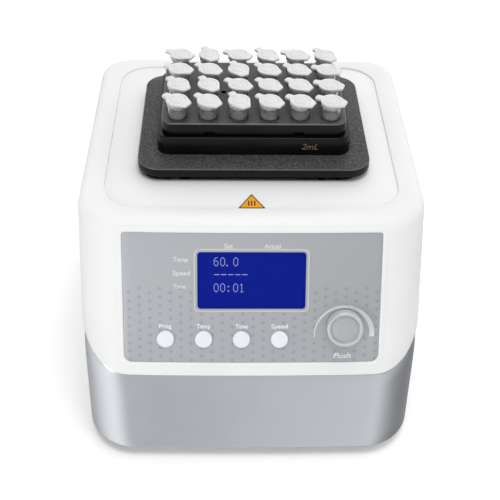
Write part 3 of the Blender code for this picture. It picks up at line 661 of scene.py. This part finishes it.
def stations():
    """Fixed places round the body, counter-clockwise from the front left corner's side end."""
    places = []
    quarters = ((-1, -1, 180, "front", FRONT_STEPS), (1, -1, 270, "right", SIDE_STEPS),
                (1, 1, 0, "rear", REAR_STEPS), (-1, 1, 90, "left", SIDE_STEPS))
    for sx, sy, start, run, count in quarters:
        for i in range(CORNER_STEPS + 1):
            places.append(("corner", sx, sy, radians(start + 90 * i / CORNER_STEPS)))
        places += [(run, i / count) for i in range(1, count)]
    return places


STATIONS = stations()


def wall_point(station, z, inset=0.0, front_inset=None):
    """Point of the body's wall at one station and height, moved inwards by an inset."""
    front_inset = inset if front_inset is None else front_inset
    half = BODY_WIDTH / 2 - inset
    front = front_y(z) + FRONT_BULGE + front_inset
    rear = rear_y(z) - inset
    radius = max(corner_radius(z) - inset, 2.0)
    rear_radius = max(REAR_RADIUS - inset, 2.0)
    kind = station[0]
    if kind == "corner":
        sx, sy, angle = station[1:]
        used = radius if sy < 0 else rear_radius
        x = sx * (half - used) + used * cos(angle)
        y = (front + used if sy < 0 else rear - used) + used * sin(angle)
        if sy < 0:
            y -= bulge_at(x) * max(0.0, -sin(angle))
        return (x, y, z)
    share = station[1]
    if kind == "front":
        x = (2 * share - 1) * (half - radius)
        return (x, front - bulge_at(x), z)
    if kind == "rear":
        return ((1 - 2 * share) * (half - rear_radius), rear, z)
    low, high = front + radius, rear - rear_radius
    if kind == "right":
        return (half, low + (high - low) * share, z)
    return (-half, high + (low - high) * share, z)


def seam_height(station):
    y = wall_point(station, SEAM_FRONT_Z)[1]
    start = front_y(SEAM_FRONT_Z) + FRONT_BULGE - SEAM_LEAD
    share = min(max((y - start) / SEAM_RUN, 0.0), 1.0)
    return SEAM_FRONT_Z + (SEAM_BACK_Z - SEAM_FRONT_Z) * (1.0 - (1.0 - share) ** SEAM_EASE)


def level_ring(height, inset=0.0, front_inset=None):
    return [wall_point(s, height, inset, front_inset) for s in STATIONS]


def rolled_edge(height, radius, steps, way=1):
    """Level rings that roll the wall over on its way up (1) or down (-1) to a height."""
    rings = []
    for i in range(1, steps + 1):
        angle = pi / 2 * i / steps
        rings.append(level_ring(height - way * radius * (1 - sin(angle)), radius * (1 - cos(angle))))
    return rings


def lower_inset(z):
    return LOWER_SET_BACK * (z - SHELL_BOTTOM_Z) / (SEAM_BACK_Z - SHELL_BOTTOM_Z)


def seam_ring(share, end, inset=0.0, front_inset=None, lift=0.0):
    """Ring lying share of the way from the seam to a level end height."""
    ring = []
    for station in STATIONS:
        start = seam_height(station) + lift
        ring.append(wall_point(station, start + (end - start) * share, inset, front_inset))
    return ring


def lower_ring(share, end, inset=0.0, lift=0.0):
    """The same on the lower shell, whose walls lean out to full width at the bottom."""
    ring = []
    for station in STATIONS:
        start = seam_height(station) + lift
        z = start + (end - start) * share
        ring.append(wall_point(station, z, inset + lower_inset(z)))
    return ring


def plan_ring(size, radius, height, spread=0.0):
    """Rounded rectangle about the block, grown by spread, with one point for each station of the body."""
    half_x, half_y = size[0] / 2 + spread, size[1] / 2 + spread
    radius += spread
    ring = []
    for station in STATIONS:
        if station[0] == "corner":
            sx, sy, angle = station[1:]
            x = sx * (half_x - radius) + radius * cos(angle)
            y = sy * (half_y - radius) + radius * sin(angle)
        elif station[0] in ("front", "rear"):
            way = 1 if station[0] == "front" else -1
            x = way * (2 * station[1] - 1) * (half_x - radius)
            y = -way * half_y
        else:
            way = 1 if station[0] == "right" else -1
            x = way * half_x
            y = way * (2 * station[1] - 1) * (half_y - radius)
        ring.append((x, BLOCK_Y + y, height))
    return ring


# ---- housings

def make_upper_housing(made):
    rings = []
    for inset, lift in ((WALL, 0.0), (0.5, 0.0), (0.12, 0.12), (0.0, 0.5)):
        rings.append(seam_ring(0.0, TOP_Z, inset, None, GAP + lift))
    for i in range(1, 9):
        rings.append(seam_ring(i / 8, TOP_Z - EDGE_FILLET, 0.0, None, GAP + 0.5))
    rings += rolled_edge(TOP_Z, EDGE_FILLET, 9)
    for spread, height in ((0.3, 0.0), (0.0, -0.1), (-0.15, -0.5), (-0.35, -1.15), (-0.75, -1.2),
                           (-1.1, -0.8), (-1.4, -0.7)):
        rings.append(plan_ring(RECESS_SIZE, RECESS_RADIUS, TOP_Z + height, spread))
    for spread, height in ((0.8, -0.7), (0.3, -0.85), (0.0, -1.5), (0.0, -WALL)):
        rings.append(plan_ring(OPENING_SIZE, OPENING_RADIUS, TOP_Z + height, spread))
    rings.append(level_ring(TOP_Z - WALL, WALL + 4.0, FRONT_WALL + 4.0))
    rings.append(level_ring(TOP_Z - WALL - 3.0, WALL, FRONT_WALL))
    rings.append(seam_ring(0.1, TOP_Z - WALL - 3.0, WALL, FRONT_WALL, GAP))
    housing = loft("housing_top", rings, made["white"], closed=True)
    cut(housing, panel_outline(0.0), (-PANEL_RECESS, 9.0), on_panel)
    through = (-14.0, 4.0)
    cut(housing, rounded((66.0, 38.0), 1.0, (LENS_CENTRE[0], 27.0)), through, on_panel)
    for x, t, radius in panel_holes(5.4, 5.0):
        cut(housing, circle(x, t, radius, 40), through, on_panel_near(x))
    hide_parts("upper_housing")
    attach(housing, "body")


def panel_outline(gap, steps=10):
    """Panel outline from (x, t) points, with tight upper corners and rounder lower ones."""
    half = PANEL_SIZE[0] / 2 - gap
    top, bottom = gap, PANEL_SIZE[1] - gap
    low_radius, high_radius = [max(radius - gap, 0.3) for radius in PANEL_RADII]
    points = []
    for sx, edge, radius, start in ((1, bottom, low_radius, 0), (-1, bottom, low_radius, 90),
                                    (-1, top, high_radius, 180), (1, top, high_radius, 270)):
        turn_x = sx * (half - radius)
        turn_t = edge - radius if edge == bottom else edge + radius
        for i in range(steps + 1):
            angle = radians(start + 90.0 * i / steps)
            points.append((turn_x + radius * cos(angle), turn_t + radius * sin(angle)))
        if start in (0, 180):
            points += [(turn_x * (1 - 2 * i / EDGE_STEPS), edge) for i in range(1, EDGE_STEPS)]
    return points


def panel_holes(button_radius, knob_radius):
    """Places and radii of the holes for the four buttons and the knob."""
    return [(x, BUTTON_T, button_radius) for x in BUTTON_XS.values()] + [(KNOB_X, KNOB_T, knob_radius)]


def make_panel_surround(made):
    """Low rounded bead moulded round the panel."""
    profile = ((0.02, -0.6), (0.0, 0.12), (-0.25, 0.32), (-1.0, 0.40), (-1.9, 0.32), (-2.5, 0.10),
               (-3.0, -0.15), (-3.0, -0.6))
    levels = [(panel_outline(gap), height) for gap, height in profile]
    bead = stack("panel_surround", levels, made["white"], on_panel, closed=True, sharp=60.0)
    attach(bead, "body")


def make_lower_housing(made):
    bottom = SHELL_BOTTOM_Z
    roll = 0.8
    rings = []
    for inset, drop in ((WALL, 0.0), (0.5, 0.0), (0.1, 0.15), (0.0, 0.5)):
        rings.append(lower_ring(0.0, bottom, inset, -GAP - drop))
    for i in range(1, 7):
        rings.append(lower_ring(i / 6, bottom + roll, 0.0, -GAP - 0.5))
    rings += rolled_edge(bottom, roll, 3, -1)
    rings.append(level_ring(bottom, WALL))
    housing = loft("housing_bottom", rings, made["silver"], closed=True)
    rear = rear_y(FAN_Z)
    for i in range(-4, 5):
        offset = VENT_PITCH * i
        size = (VENT_WIDTH, 2 * sqrt(VENT_ROUND ** 2 - offset ** 2))
        slit = rounded(size, VENT_RADIUS, (FAN_X + offset, FAN_Z), 6)
        cut(housing, slit, (rear - 8, rear + 4), facing_back)
    half = BODY_WIDTH / 2
    for side in (-1, 1):
        for i in range(-3, 4):
            middle = (BLOCK_Y + SIDE_VENT_PITCH * i, SIDE_VENT_Z)
            slit = rounded((VENT_WIDTH, SIDE_VENT_HEIGHT), VENT_RADIUS, middle, 6)
            cut(housing, slit, (side * (half - 8.0), side * (half + 4.0)), facing_side)
    cut(housing, rounded(INLET_SIZE, 1.5, (INLET_X, INLET_Z), 4), (rear - 8, rear + 6), facing_back)
    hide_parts("lower_housing")
    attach(housing, "body")


# ---- control panel

PRINT_LOW, PRINT_HIGH = -0.24, -0.12      # heights between which the panel's print lies
PRINT_WEIGHT = 0.012


def make_control_panel(made):
    levels = []
    top = -0.2
    for inset, height in ((0.06, GAP - PANEL_RECESS), (0.06, top - 0.1), (0.1, top - 0.03), (0.2, top)):
        levels.append((panel_outline(inset), height))
    plate = stack("panel_plate", levels, made["panel"], on_panel, sharp=60.0)
    slice_across(plate, PANEL_SIZE[0] / 2, 24)
    through = (-6.0, 4.0)
    cut(plate, rounded(LENS_SIZE, LENS_RADIUS, LENS_CENTRE), through, on_panel)
    for x, t, radius in panel_holes(BUTTON_RADIUS + 0.08, 4.4):
        cut(plate, circle(x, t, radius, 64), through, on_panel_near(x))
    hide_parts("control_panel")
    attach(plate, "body")


def slice_across(piece, half, count):
    """Cut a wide piece into upright strips, so that its faces follow the panel's swell."""
    mesh = bmesh.new()
    mesh.from_mesh(piece.data)
    for i in range(1, count):
        x = half * (2 * i / count - 1)
        everything = mesh.verts[:] + mesh.edges[:] + mesh.faces[:]
        bmesh.ops.bisect_plane(mesh, geom=everything, plane_co=(x * MM, 0, 0), plane_no=(1, 0, 0))
    mesh.to_mesh(piece.data)
    mesh.free()


def band(name, outer, inner, high, made):
    """Thin flat frame between two outlines on the panel."""
    levels = [(inner, PRINT_LOW), (inner, high), (outer, high), (outer, PRINT_LOW)]
    piece = stack(name, levels, made, on_panel, closed=True)
    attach(piece, "body")


def make_display(made):
    def outline(inset, radius):
        width, height = [side - 0.1 - 2 * inset for side in LENS_SIZE]
        return rounded((width, height), radius, LENS_CENTRE)

    lens = stack("display_window", [(outline(0.0, LENS_RADIUS), -1.5), (outline(0.0, LENS_RADIUS), -0.25)],
                 made["lens"], on_panel)
    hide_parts("display_lens")
    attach(lens, "body")
    edge, middle, inside = outline(0.0, LENS_RADIUS), outline(0.75, 2.5), outline(1.85, 1.9)
    band("display_outline", edge, middle, -0.17, made["frame"])
    band("display_bezel", middle, inside, -0.19, made["bezel"])
    screen = stack("display_screen", [(outline(0.4, 1.5), -3.0), (outline(0.4, 1.5), -1.6)],
                   made["blue"], on_panel)
    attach(screen, "body")


DIGIT_DOT = (0.4475, 0.39)   # pitch of the display's dots, across and down
DIGIT_LEFT = -20.95
DIGIT_HEIGHTS = (-1.62, -1.56)
DASH_PITCH = 3.87


def make_digits(made):
    """Characters on the display, each drawn as strokes on an eight by twelve grid of dots."""
    oval = ((2, 0), (3, 0), (5, 2.5), (5, 9.5), (3, 12), (2, 12), (0, 9.5), (0, 2.5), (2, 0))
    strokes = {
        "0": (oval,),
        "1": (((0.5, 2), (2, 0.5), (2, 12)), ((0.5, 12), (4, 12))),
        "6": (((4, 0), (2.5, 0), (0, 3), (0, 9.5), (2, 12), (3, 12), (5, 9.5), (5, 7), (3, 4.8), (1, 5.2)),),
        ".": (((-0.8, 11), (0.4, 11)), ((-0.8, 11.8), (0.4, 11.8))),
        ":": tuple(((1.0, y), (2.2, y)) for y in (4, 4.8, 10.4, 11.2)),
        "-": (((0.2, 6), (6.1, 6)), ((0.2, 6.3), (6.1, 6.3))),
    }
    across, down = DIGIT_DOT
    lines = (("60.0", 14.2, 8 * across), ("-----", 21.4, DASH_PITCH), ("00:01", 28.95, 8 * across))
    mesh = bmesh.new()
    for text, top, pitch in lines:
        for index, letter in enumerate(text):
            left = DIGIT_LEFT + index * pitch
            for stroke in strokes[letter]:
                for start, end in zip(stroke, stroke[1:]):
                    first = (left + start[0] * across, top + start[1] * down)
                    last = (left + end[0] * across, top + end[1] * down)
                    add_bar(mesh, first, last, across * 0.30)
    piece = finish_mesh("display_digits", mesh, made["digit"])
    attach(piece, "body")


def add_bar(mesh, start, end, half_width):
    """Thin box from start to end on the display, both given as (x, t)."""
    start, end = Vector(start), Vector(end)
    along = (end - start).normalized() * half_width
    side = Vector((-along.y, along.x))
    corners = (start - along + side, start - along - side, end + along - side, end + along + side)
    skin(mesh, [[on_panel(x, t, h) for x, t in corners] for h in DIGIT_HEIGHTS])


CAPITAL = 0.70      # height of the font's capitals at size 1


def make_label(name, text, centre, width, height, made, slant=0.0, body="body",
               place=on_panel, weight=0.0):
    """Raised print of a word, fitted to a width and capital height, centred on (x, t)."""
    curve = bpy.data.curves.new(name, "FONT")
    curve.body = text
    curve.extrude = 0.01
    curve.offset = weight
    curve.shear = slant
    source = bpy.data.objects.new(name, curve)
    bpy.context.scene.collection.objects.link(source)
    data = evaluated_mesh(source)
    bpy.data.objects.remove(source, do_unlink=True)
    xs = [v.co.x for v in data.vertices]
    left, right = min(xs), max(xs)
    for vertex in data.vertices:
        x = centre[0] + ((vertex.co.x - left) / (right - left) - 0.5) * width
        t = centre[1] + height / 2 - vertex.co.y / CAPITAL * height
        h = PRINT_HIGH if vertex.co.z > 0 else PRINT_LOW
        vertex.co = Vector(place(x, t, h)) * MM
    mesh = bmesh.new()
    mesh.from_mesh(data)
    bpy.data.meshes.remove(data)
    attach(finish_mesh(name, mesh, made), body)


def make_labels(made):
    words = (
        ("label_set", "Set", -13.0, 7.3, 4.9, 2.6), ("label_actual", "Actual", 10.9, 7.3, 9.0, 2.6),
        ("label_temp", "Temp", -39.2, 15.0, 8.1, 2.5), ("label_speed", "Speed", -38.8, 22.7, 9.5, 2.5),
        ("label_time", "Time", -39.9, 30.3, 7.0, 2.5),
        ("key_prog", "Prog", -48.0, 53.2, 6.9, 2.4), ("key_temp", "Temp", -26.8, 53.2, 7.7, 2.4),
        ("key_time", "Time", -5.7, 53.2, 6.9, 2.4), ("key_speed", "Speed", 15.4, 53.2, 9.2, 2.4),
    )
    for name, text, x, t, width, height in words:
        finish = made["print"] if name.startswith("key") else made["print_soft"]
        make_label(name, text, (x, t), width, height, finish, weight=PRINT_WEIGHT)
    make_label("label_push", "Push", (50.7, 70.6), 9.8, 3.0, made["print"], slant=0.25, weight=PRINT_WEIGHT)


def arc_thickness(share):
    """Thickness of the printed arc from its left end to its right."""
    return 0.65 + 2.25 * share ** 1.25


def make_swoosh(made):
    """Tapering arc printed round the knob, thin at its left end and thick at its right."""
    steps = 60
    past = radians(4.5)
    outer, inner = [], []
    for i in range(steps + 1):
        share = i / steps
        angle = pi + past - share * (pi + 2 * past)
        for edge, reach in ((outer, ARC_RADIUS), (inner, ARC_RADIUS - arc_thickness(share))):
            edge.append((ARC_CENTRE[0] + reach * cos(angle), ARC_CENTRE[1] - reach * sin(angle)))
    outline = outer + inner[::-1]
    levels = [(outline, height) for height in (PRINT_LOW, PRINT_HIGH)]
    piece = stack("knob_arc", levels, made["arc"], on_panel)
    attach(piece, "body")


def make_buttons(made):
    for name, x in BUTTON_XS.items():
        profile = [(6.2, -8.2), (6.2, -6.6), (BUTTON_RADIUS, -6.6), (BUTTON_RADIUS, 0.9)]
        for i in range(1, 7):
            angle = pi / 2 * i / 6
            profile.append((BUTTON_RADIUS - 0.7 * (1 - cos(angle)), 0.9 + 0.7 * sin(angle)))
        profile.append((2.4, 1.66))
        place = on_panel_near(x)
        piece = turned(name + "_cap", (x, BUTTON_T), profile, made["button"], place)
        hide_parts(name)
        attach(piece, name)


KNOB_AXIS = Vector((0.0, -cos(FRONT_LEAN), sin(FRONT_LEAN)))
KNOB_DISC = (8.15, 5.2)      # radius of the sunken disc, and a height just below its face


def finish_disc(piece, finish, middle, radius, height):
    """Give the faces within a radius of the knob's axis, above a height, a finish of their own."""
    piece.data.materials.append(finish)
    for polygon in piece.data.polygons:
        offset = polygon.center / MM - middle
        rise = KNOB_AXIS.dot(offset)
        if rise > height and (offset - KNOB_AXIS * rise).length < radius:
            polygon.material_index = 1


def make_knob(made):
    """Low knob: a bright rolled rim round a slightly sunken disc."""
    place = on_panel_near(KNOB_X)
    centre = (KNOB_X, KNOB_T)
    profile = [(2.6, 4.6), (2.6, 2.6), (5.2, 2.6), (5.2, 1.0), (9.8, 1.0), (10.05, 1.1), (10.1, 1.6),
               (9.98, 6.0), (9.92, 6.45), (9.78, 6.75), (9.55, 6.92), (9.25, 6.98), (8.75, 6.98),
               (8.45, 6.92), (8.28, 6.78), (8.2, 6.55), (8.18, 5.7), (8.12, 5.5), (7.95, 5.45), (7.75, 5.5),
               (3.0, 5.52)]
    piece = turned("knob_cap", centre, profile, made["knob"], place, 96, 60.0)
    finish_disc(piece, made["knob_face"], Vector(place(*centre, 0.0)), *KNOB_DISC)
    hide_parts("knob")
    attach(piece, "knob")


# ---- block and tubes

DECK_RADIUS, DECK_RISE = 13.0, 2.3      # the deck floats this far above the top
POST_X, POST_Y = 40.0, 41.6
TRAY_RADIUS = 7.5
TRAY_HOLLOW, SPIGOT_SIZE = (104.6, 68.6), (104.0, 68.0)
BLOCK_RADIUS = 6.5
NOTCH_X, NOTCH_SIZE = 25.4, (5.8, 3.0)
PULLER_RADIUS = 1.6
TUBE_RADIUS, TUBE_BORE = 5.4, 4.75


def face_upwards(piece, finish, height, edge=None):
    """Give the level faces at one height, and if asked the rolled edge round them, finishes of their own; the
    edge finish is a painted highlight.
    """
    level_enough, tilted_most = 0.99, 0.15
    near, edge_depth = 0.05, 0.5
    piece.data.materials.append(finish)
    if edge:
        piece.data.materials.append(edge)
    for polygon in piece.data.polygons:
        below = height - polygon.center.z / MM
        if polygon.normal.z > level_enough and abs(below) < near:
            polygon.material_index = 1
        elif edge and polygon.normal.z > tilted_most and 0.0 < below < edge_depth:
            polygon.material_index = 2


def make_deck(made):
    centre = (BLOCK_X, BLOCK_Y)
    # The plate's sides take a near-black finish, shade painted darker than its top.
    plate = soft_block("deck_plate", plan_size(deck_low, deck_high), DECK_RADIUS, centre, TOP_Z + DECK_RISE,
                       deck_high.z, made["deck_sides_painted_shade"], 0.5, 2)
    hole = rounded(plan_size(tray_low, tray_high, 0.3), TRAY_RADIUS + 0.3, (BLOCK_X, TRAY_Y))
    cut(plate, hole, (TOP_Z - 5.0, TOP_Z + 12.0))
    # Powder coat on the top face and a painted highlight on the rolled edge round it.
    face_upwards(plate, made["deck"], deck_high.z, made["painted_edge_highlight"])
    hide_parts("shaker_deck")
    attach(plate, "platform")
    for sx in (-1, 1):
        for sy in (-1, 1):
            post = turned("deck_post_%s%s" % ("ab"[sx > 0], "ab"[sy > 0]),
                          (BLOCK_X + POST_X * sx, TRAY_Y + POST_Y * sy),
                          [(2.5, deck_low.z), (2.5, TOP_Z + DECK_RISE)], made["dark"], count=24)
            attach(post, "platform")


def make_tray(made):
    centre = (BLOCK_X, TRAY_Y)
    tray = soft_block("heating_tray", plan_size(tray_low, tray_high), TRAY_RADIUS, centre, tray_low.z,
                      tray_high.z, made["anodised"], 0.5)
    hollow = rounded(TRAY_HOLLOW, 3.5, centre)
    cut(tray, hollow, (block_low.z - GAP, tray_high.z + 5))
    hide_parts("block_base")
    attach(tray, "platform")
    front = tray_low.y - 0.02
    make_label("block_mark", "2mL", (BLOCK_X + 31.9, 0.0), 9.4, -3.9, made["mark"],
               0.28, "platform", lambda x, t, h: (x, front - (h + 0.2) * 0.6, TOP_Z + 13.4 + t))


def tube_sites():
    for row in range(TUBE_ROWS):
        for column in range(TUBE_COLUMNS):
            x = BLOCK_X + (column - (TUBE_COLUMNS - 1) / 2) * TUBE_PITCH
            y = BLOCK_Y + (row - (TUBE_ROWS - 1) / 2) * TUBE_PITCH
            yield "tube_%d%d" % (row + 1, column + 1), x, y


def make_block(made):
    centre = (BLOCK_X, TRAY_Y)
    size = plan_size(block_low, block_high)
    neck = tray_high.z + GAP
    below = rounded(SPIGOT_SIZE, 3.2, centre)
    spigot = stack("block_spigot", [(below, block_low.z), (below, neck + 1.0)], made["anodised"])
    flange = soft_block("sample_block", size, BLOCK_RADIUS, centre, neck, block_high.z, made["anodised"],
                        0.9, 5, 0.3)
    combine(flange, spigot, "UNION")
    for side in (-1, 1):
        notch = rounded(NOTCH_SIZE, 0.3, (BLOCK_X + side * NOTCH_X, centre[1] - size[1] / 2), 3)
        cut(flange, notch, (neck - 1.0, neck + 2.4))
    for _, x, y in tube_sites():
        profile = [(3.4, first_tube_low.z - GAP), (WELL_RADIUS, first_tube_low.z + 6.7),
                   (WELL_RADIUS, block_high.z - 0.25), (WELL_RADIUS + 0.2, block_high.z),
                   (WELL_RADIUS + 0.2, block_high.z + 5.0)]
        combine(flange, turned("well", (x, y), profile, made["anodised"], count=32))
    cut(flange, circle(BLOCK_X - TUBE_PITCH, BLOCK_Y, PULLER_RADIUS, 24), (TOP_Z + 15.0, TOP_Z + 40.0))
    # Top faces take a lighter copy of the anodised finish, painted light from above, and their rolled edges a
    # painted highlight.
    face_upwards(flange, made["block_top_painted_lit"], block_high.z, made["painted_edge_highlight"])
    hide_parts("tube_block")
    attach(flange, "tube_block")


LID_RADIUS = 6.35
LID_POINTS = 96
HINGE_REACH, HINGE_HALF = 8.6, 2.5
TAB_REACH, TAB_HALF = 9.8, 2.3
TAB_SPAN = 0.6              # half the angle that the tab takes up
TAB_ROUNDING = 16.0


def lid_radius(angle):
    """Lid outline about its centre: tab at angle 0, hinge web opposite it."""
    from_tab = abs((angle + pi) % (2 * pi) - pi)
    from_hinge = pi - from_tab
    corner = atan2(HINGE_HALF, HINGE_REACH)
    corner_reach = sqrt(HINGE_REACH ** 2 + HINGE_HALF ** 2)
    tangent = corner + acos(LID_RADIUS / corner_reach)
    if from_hinge <= corner:
        return HINGE_REACH / cos(from_hinge)
    if from_hinge <= tangent:
        return LID_RADIUS / cos(tangent - from_hinge)
    if from_tab < TAB_SPAN:
        side = TAB_HALF / max(sin(from_tab), 0.001)
        end = TAB_REACH - TAB_ROUNDING * from_tab ** 3.0
        return max(LID_RADIUS, min(side, end))
    return LID_RADIUS


def lid_ring(shrink):
    points = []
    for i in range(LID_POINTS):
        angle = 2 * pi * i / LID_POINTS
        radius = lid_radius(angle) - shrink
        points.append((radius * cos(angle), radius * sin(angle)))
    return points


def lid_mesh(made):
    """Lid about its own axis with its top at height 0, tab towards +X."""
    rim = ((0.5, -1.5), (0.1, -1.4), (0.0, -1.1), (0.0, -0.4), (0.12, -0.12), (0.4, 0.0))
    dish = ((5.3, 0.0), (5.1, -0.08), (4.8, -0.5), (4.4, -0.6), (3.3, -0.6), (3.1, -0.42), (2.7, -0.42),
            (2.5, -0.6), (1.5, -0.6), (1.3, -0.5), (0.5, -0.5))
    levels = [(circle(0, 0, 4.55, LID_POINTS), -1.5)]
    levels += [(lid_ring(shrink), height) for shrink, height in rim]
    levels += [(circle(0, 0, radius, LID_POINTS), height) for radius, height in dish]
    return mesh_of(stack("lid", levels, made["lid"], sharp=70.0))


LUGS = 12


def lug_ring(base, height, depth=0.0, drop=0.0, count=144):
    """Ring of points on a circle, with rounded lugs that stand out by depth and hang down by drop."""
    points = []
    for i in range(count):
        angle = 2 * pi * i / count
        lug = max(0.0, cos(LUGS * angle)) ** 0.5
        radius = base + depth * lug
        points.append((radius * cos(angle), radius * sin(angle), height - drop * lug))
    return points


def skirt_mesh(made):
    """Lugged rim below the lid, and the plug that seals the tube."""
    profile = ((4.0, -5.0), (4.5, -4.8), (4.6, -3.5), (5.5, -3.5), (5.5, -3.2, 0.0, 0.5),
               (5.55, -3.0, 0.3, 0.6), (5.6, -2.7, 0.5, 0.5), (5.6, -2.2, 0.5), (5.85, -2.0), (5.85, -1.75),
               (5.5, -1.55), (3.8, -1.55), (3.6, -4.8))
    rings = [lug_ring(*level) for level in profile]
    return mesh_of(loft("skirt", rings, made["skirt"], True, 50.0))


def body_mesh(made, depth):
    """Tube about its own axis: rim just under the lid, tip at -depth, full up to the block's top face."""
    outer, inner = TUBE_RADIUS, TUBE_BORE
    level = block_high.z - LID_TOP + 0.3
    profile = [(0.4, -depth), (1.8, -depth + 0.25), (3.0, -depth + 1.2), (outer, -depth + 7.0), (outer, -4.0),
               (outer + 0.05, -3.55), (inner, -3.55), (inner, level + 0.5), (inner - 0.2, level + 0.15),
               (inner - 0.6, level), (0.4, level)]
    piece = turned("tube", (0, 0), profile, made["tube"], count=48, sharp=50.0)
    face_upwards(piece, made["sample"], level)
    return mesh_of(piece)


def tab_angle(name, x, y):
    """Direction of the lid's tab, read from the farthest points of the CAD tube."""
    spokes = [Vector((v.co.x / MM - x, v.co.y / MM - y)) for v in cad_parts[name].data.vertices]
    longest = max(spoke.length for spoke in spokes)
    tab = sum((spoke for spoke in spokes if longest - spoke.length < 0.1), Vector((0.0, 0.0)))
    return atan2(tab.y, tab.x)


def make_tubes(made):
    depth = LID_TOP - first_tube_low.z
    meshes = {"body": body_mesh(made, depth), "skirt": skirt_mesh(made), "lid": lid_mesh(made)}
    for name, x, y in tube_sites():
        turn = Matrix.Rotation(tab_angle(name, x, y), 4, "Z")
        place = Matrix.Translation(Vector((x, y, LID_TOP)) * MM) @ turn
        for part, data in meshes.items():
            piece = bpy.data.objects.new(name + "_" + part, data)
            piece.matrix_world = place
            bpy.context.scene.collection.objects.link(piece)
            if part == "body":
                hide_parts(name)
            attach(piece, name)


# ---- small things and the rest

def make_feet(made):
    for name in ("foot_front_left", "foot_front_right", "foot_rear_left", "foot_rear_right"):
        low, high = box_mm(name)
        centre = ((low.x + high.x) / 2, (low.y + high.y) / 2)
        profile = [(7.6, 0.0), (8.2, 0.1), (8.6, 0.5), (8.9, 1.2), (9.5, 6.6), (9.5, high.z)]
        piece = turned(name + "_pad", centre, profile, made["rubber"])
        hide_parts(name)
        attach(piece, "body")


def make_sign(made):
    """Plain amber triangle with three strokes on the top, in front of the deck."""
    centre_x, tip_y, base_y = -0.3, BLOCK_Y - 64.7, BLOCK_Y - 77.3
    half = 7.3
    middle = Vector((centre_x, tip_y * 0.38 + base_y * 0.62))
    corners = [Vector((centre_x + side * half, tip_y if side == 0 else base_y)) for side in (0, -1, 1)]

    def triangle(shrink):
        points = []
        for corner in corners:
            inward = middle + (corner - middle) * (1 - shrink)
            aim = (corner - middle).normalized()
            across = Vector((-aim.y, aim.x))
            for side in (-1, 0, 1):
                points.append(tuple(inward + across * side * 0.35 - aim * abs(side) * 0.3))
        return points

    # Name, outlines of the foot and the face, depth and rise, finish.
    layers = [("sign_border", triangle(0.0), triangle(0.0), 0.9, 0.03, "ink"),
              ("sign_field", triangle(0.30), triangle(0.16), 0.9, 0.06, "amber")]
    for index, offset in enumerate((-1.7, 0.0, 1.7)):
        bar = rounded((0.75, 4.4), 0.3, (centre_x + offset, base_y + 4.4), 4)
        layers.append(("sign_stroke_%d" % index, bar, bar, 0.5, 0.09, "ink"))
    for name, foot, face, depth, rise, finish in layers:
        levels = [(foot, TOP_Z - depth), (face, TOP_Z + rise)]
        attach(stack(name, levels, made[finish]), "body")


KEPT_NODES = {
    "steel": ("base_plate", "encoder", "encoder_shaft", "temperature_probe", "carrier_plate", "crank_bearing",
              "drive_crank", "idler_left", "idler_right", "chassis"),
    "dark": ("display_module", "fan_frame", "fan_rotor", "power_inlet", "rocker_switch"),
    "board": ("control_board", "power_supply"),
    "heater": ("heater_plate",),
    "felt": ("insulation_pad",),
    "motor": ("motor",),
}


def dress_cad_nodes(made):
    """Procedural finishes for the CAD nodes that stay as they are."""
    for finish, names in KEPT_NODES.items():
        for name in names:
            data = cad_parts[name].data
            data.materials.clear()
            data.materials.append(made[finish])


def main():
    make_camera()
    make_light()
    make_floor()
    made = make_materials()
    makers = (make_upper_housing, make_panel_surround, make_lower_housing, make_control_panel, make_display,
              make_digits, make_labels, make_swoosh, make_buttons, make_knob, make_deck, make_tray,
              make_block, make_tubes, make_feet, make_sign, dress_cad_nodes)
    for make in makers:
        make(made)


main()
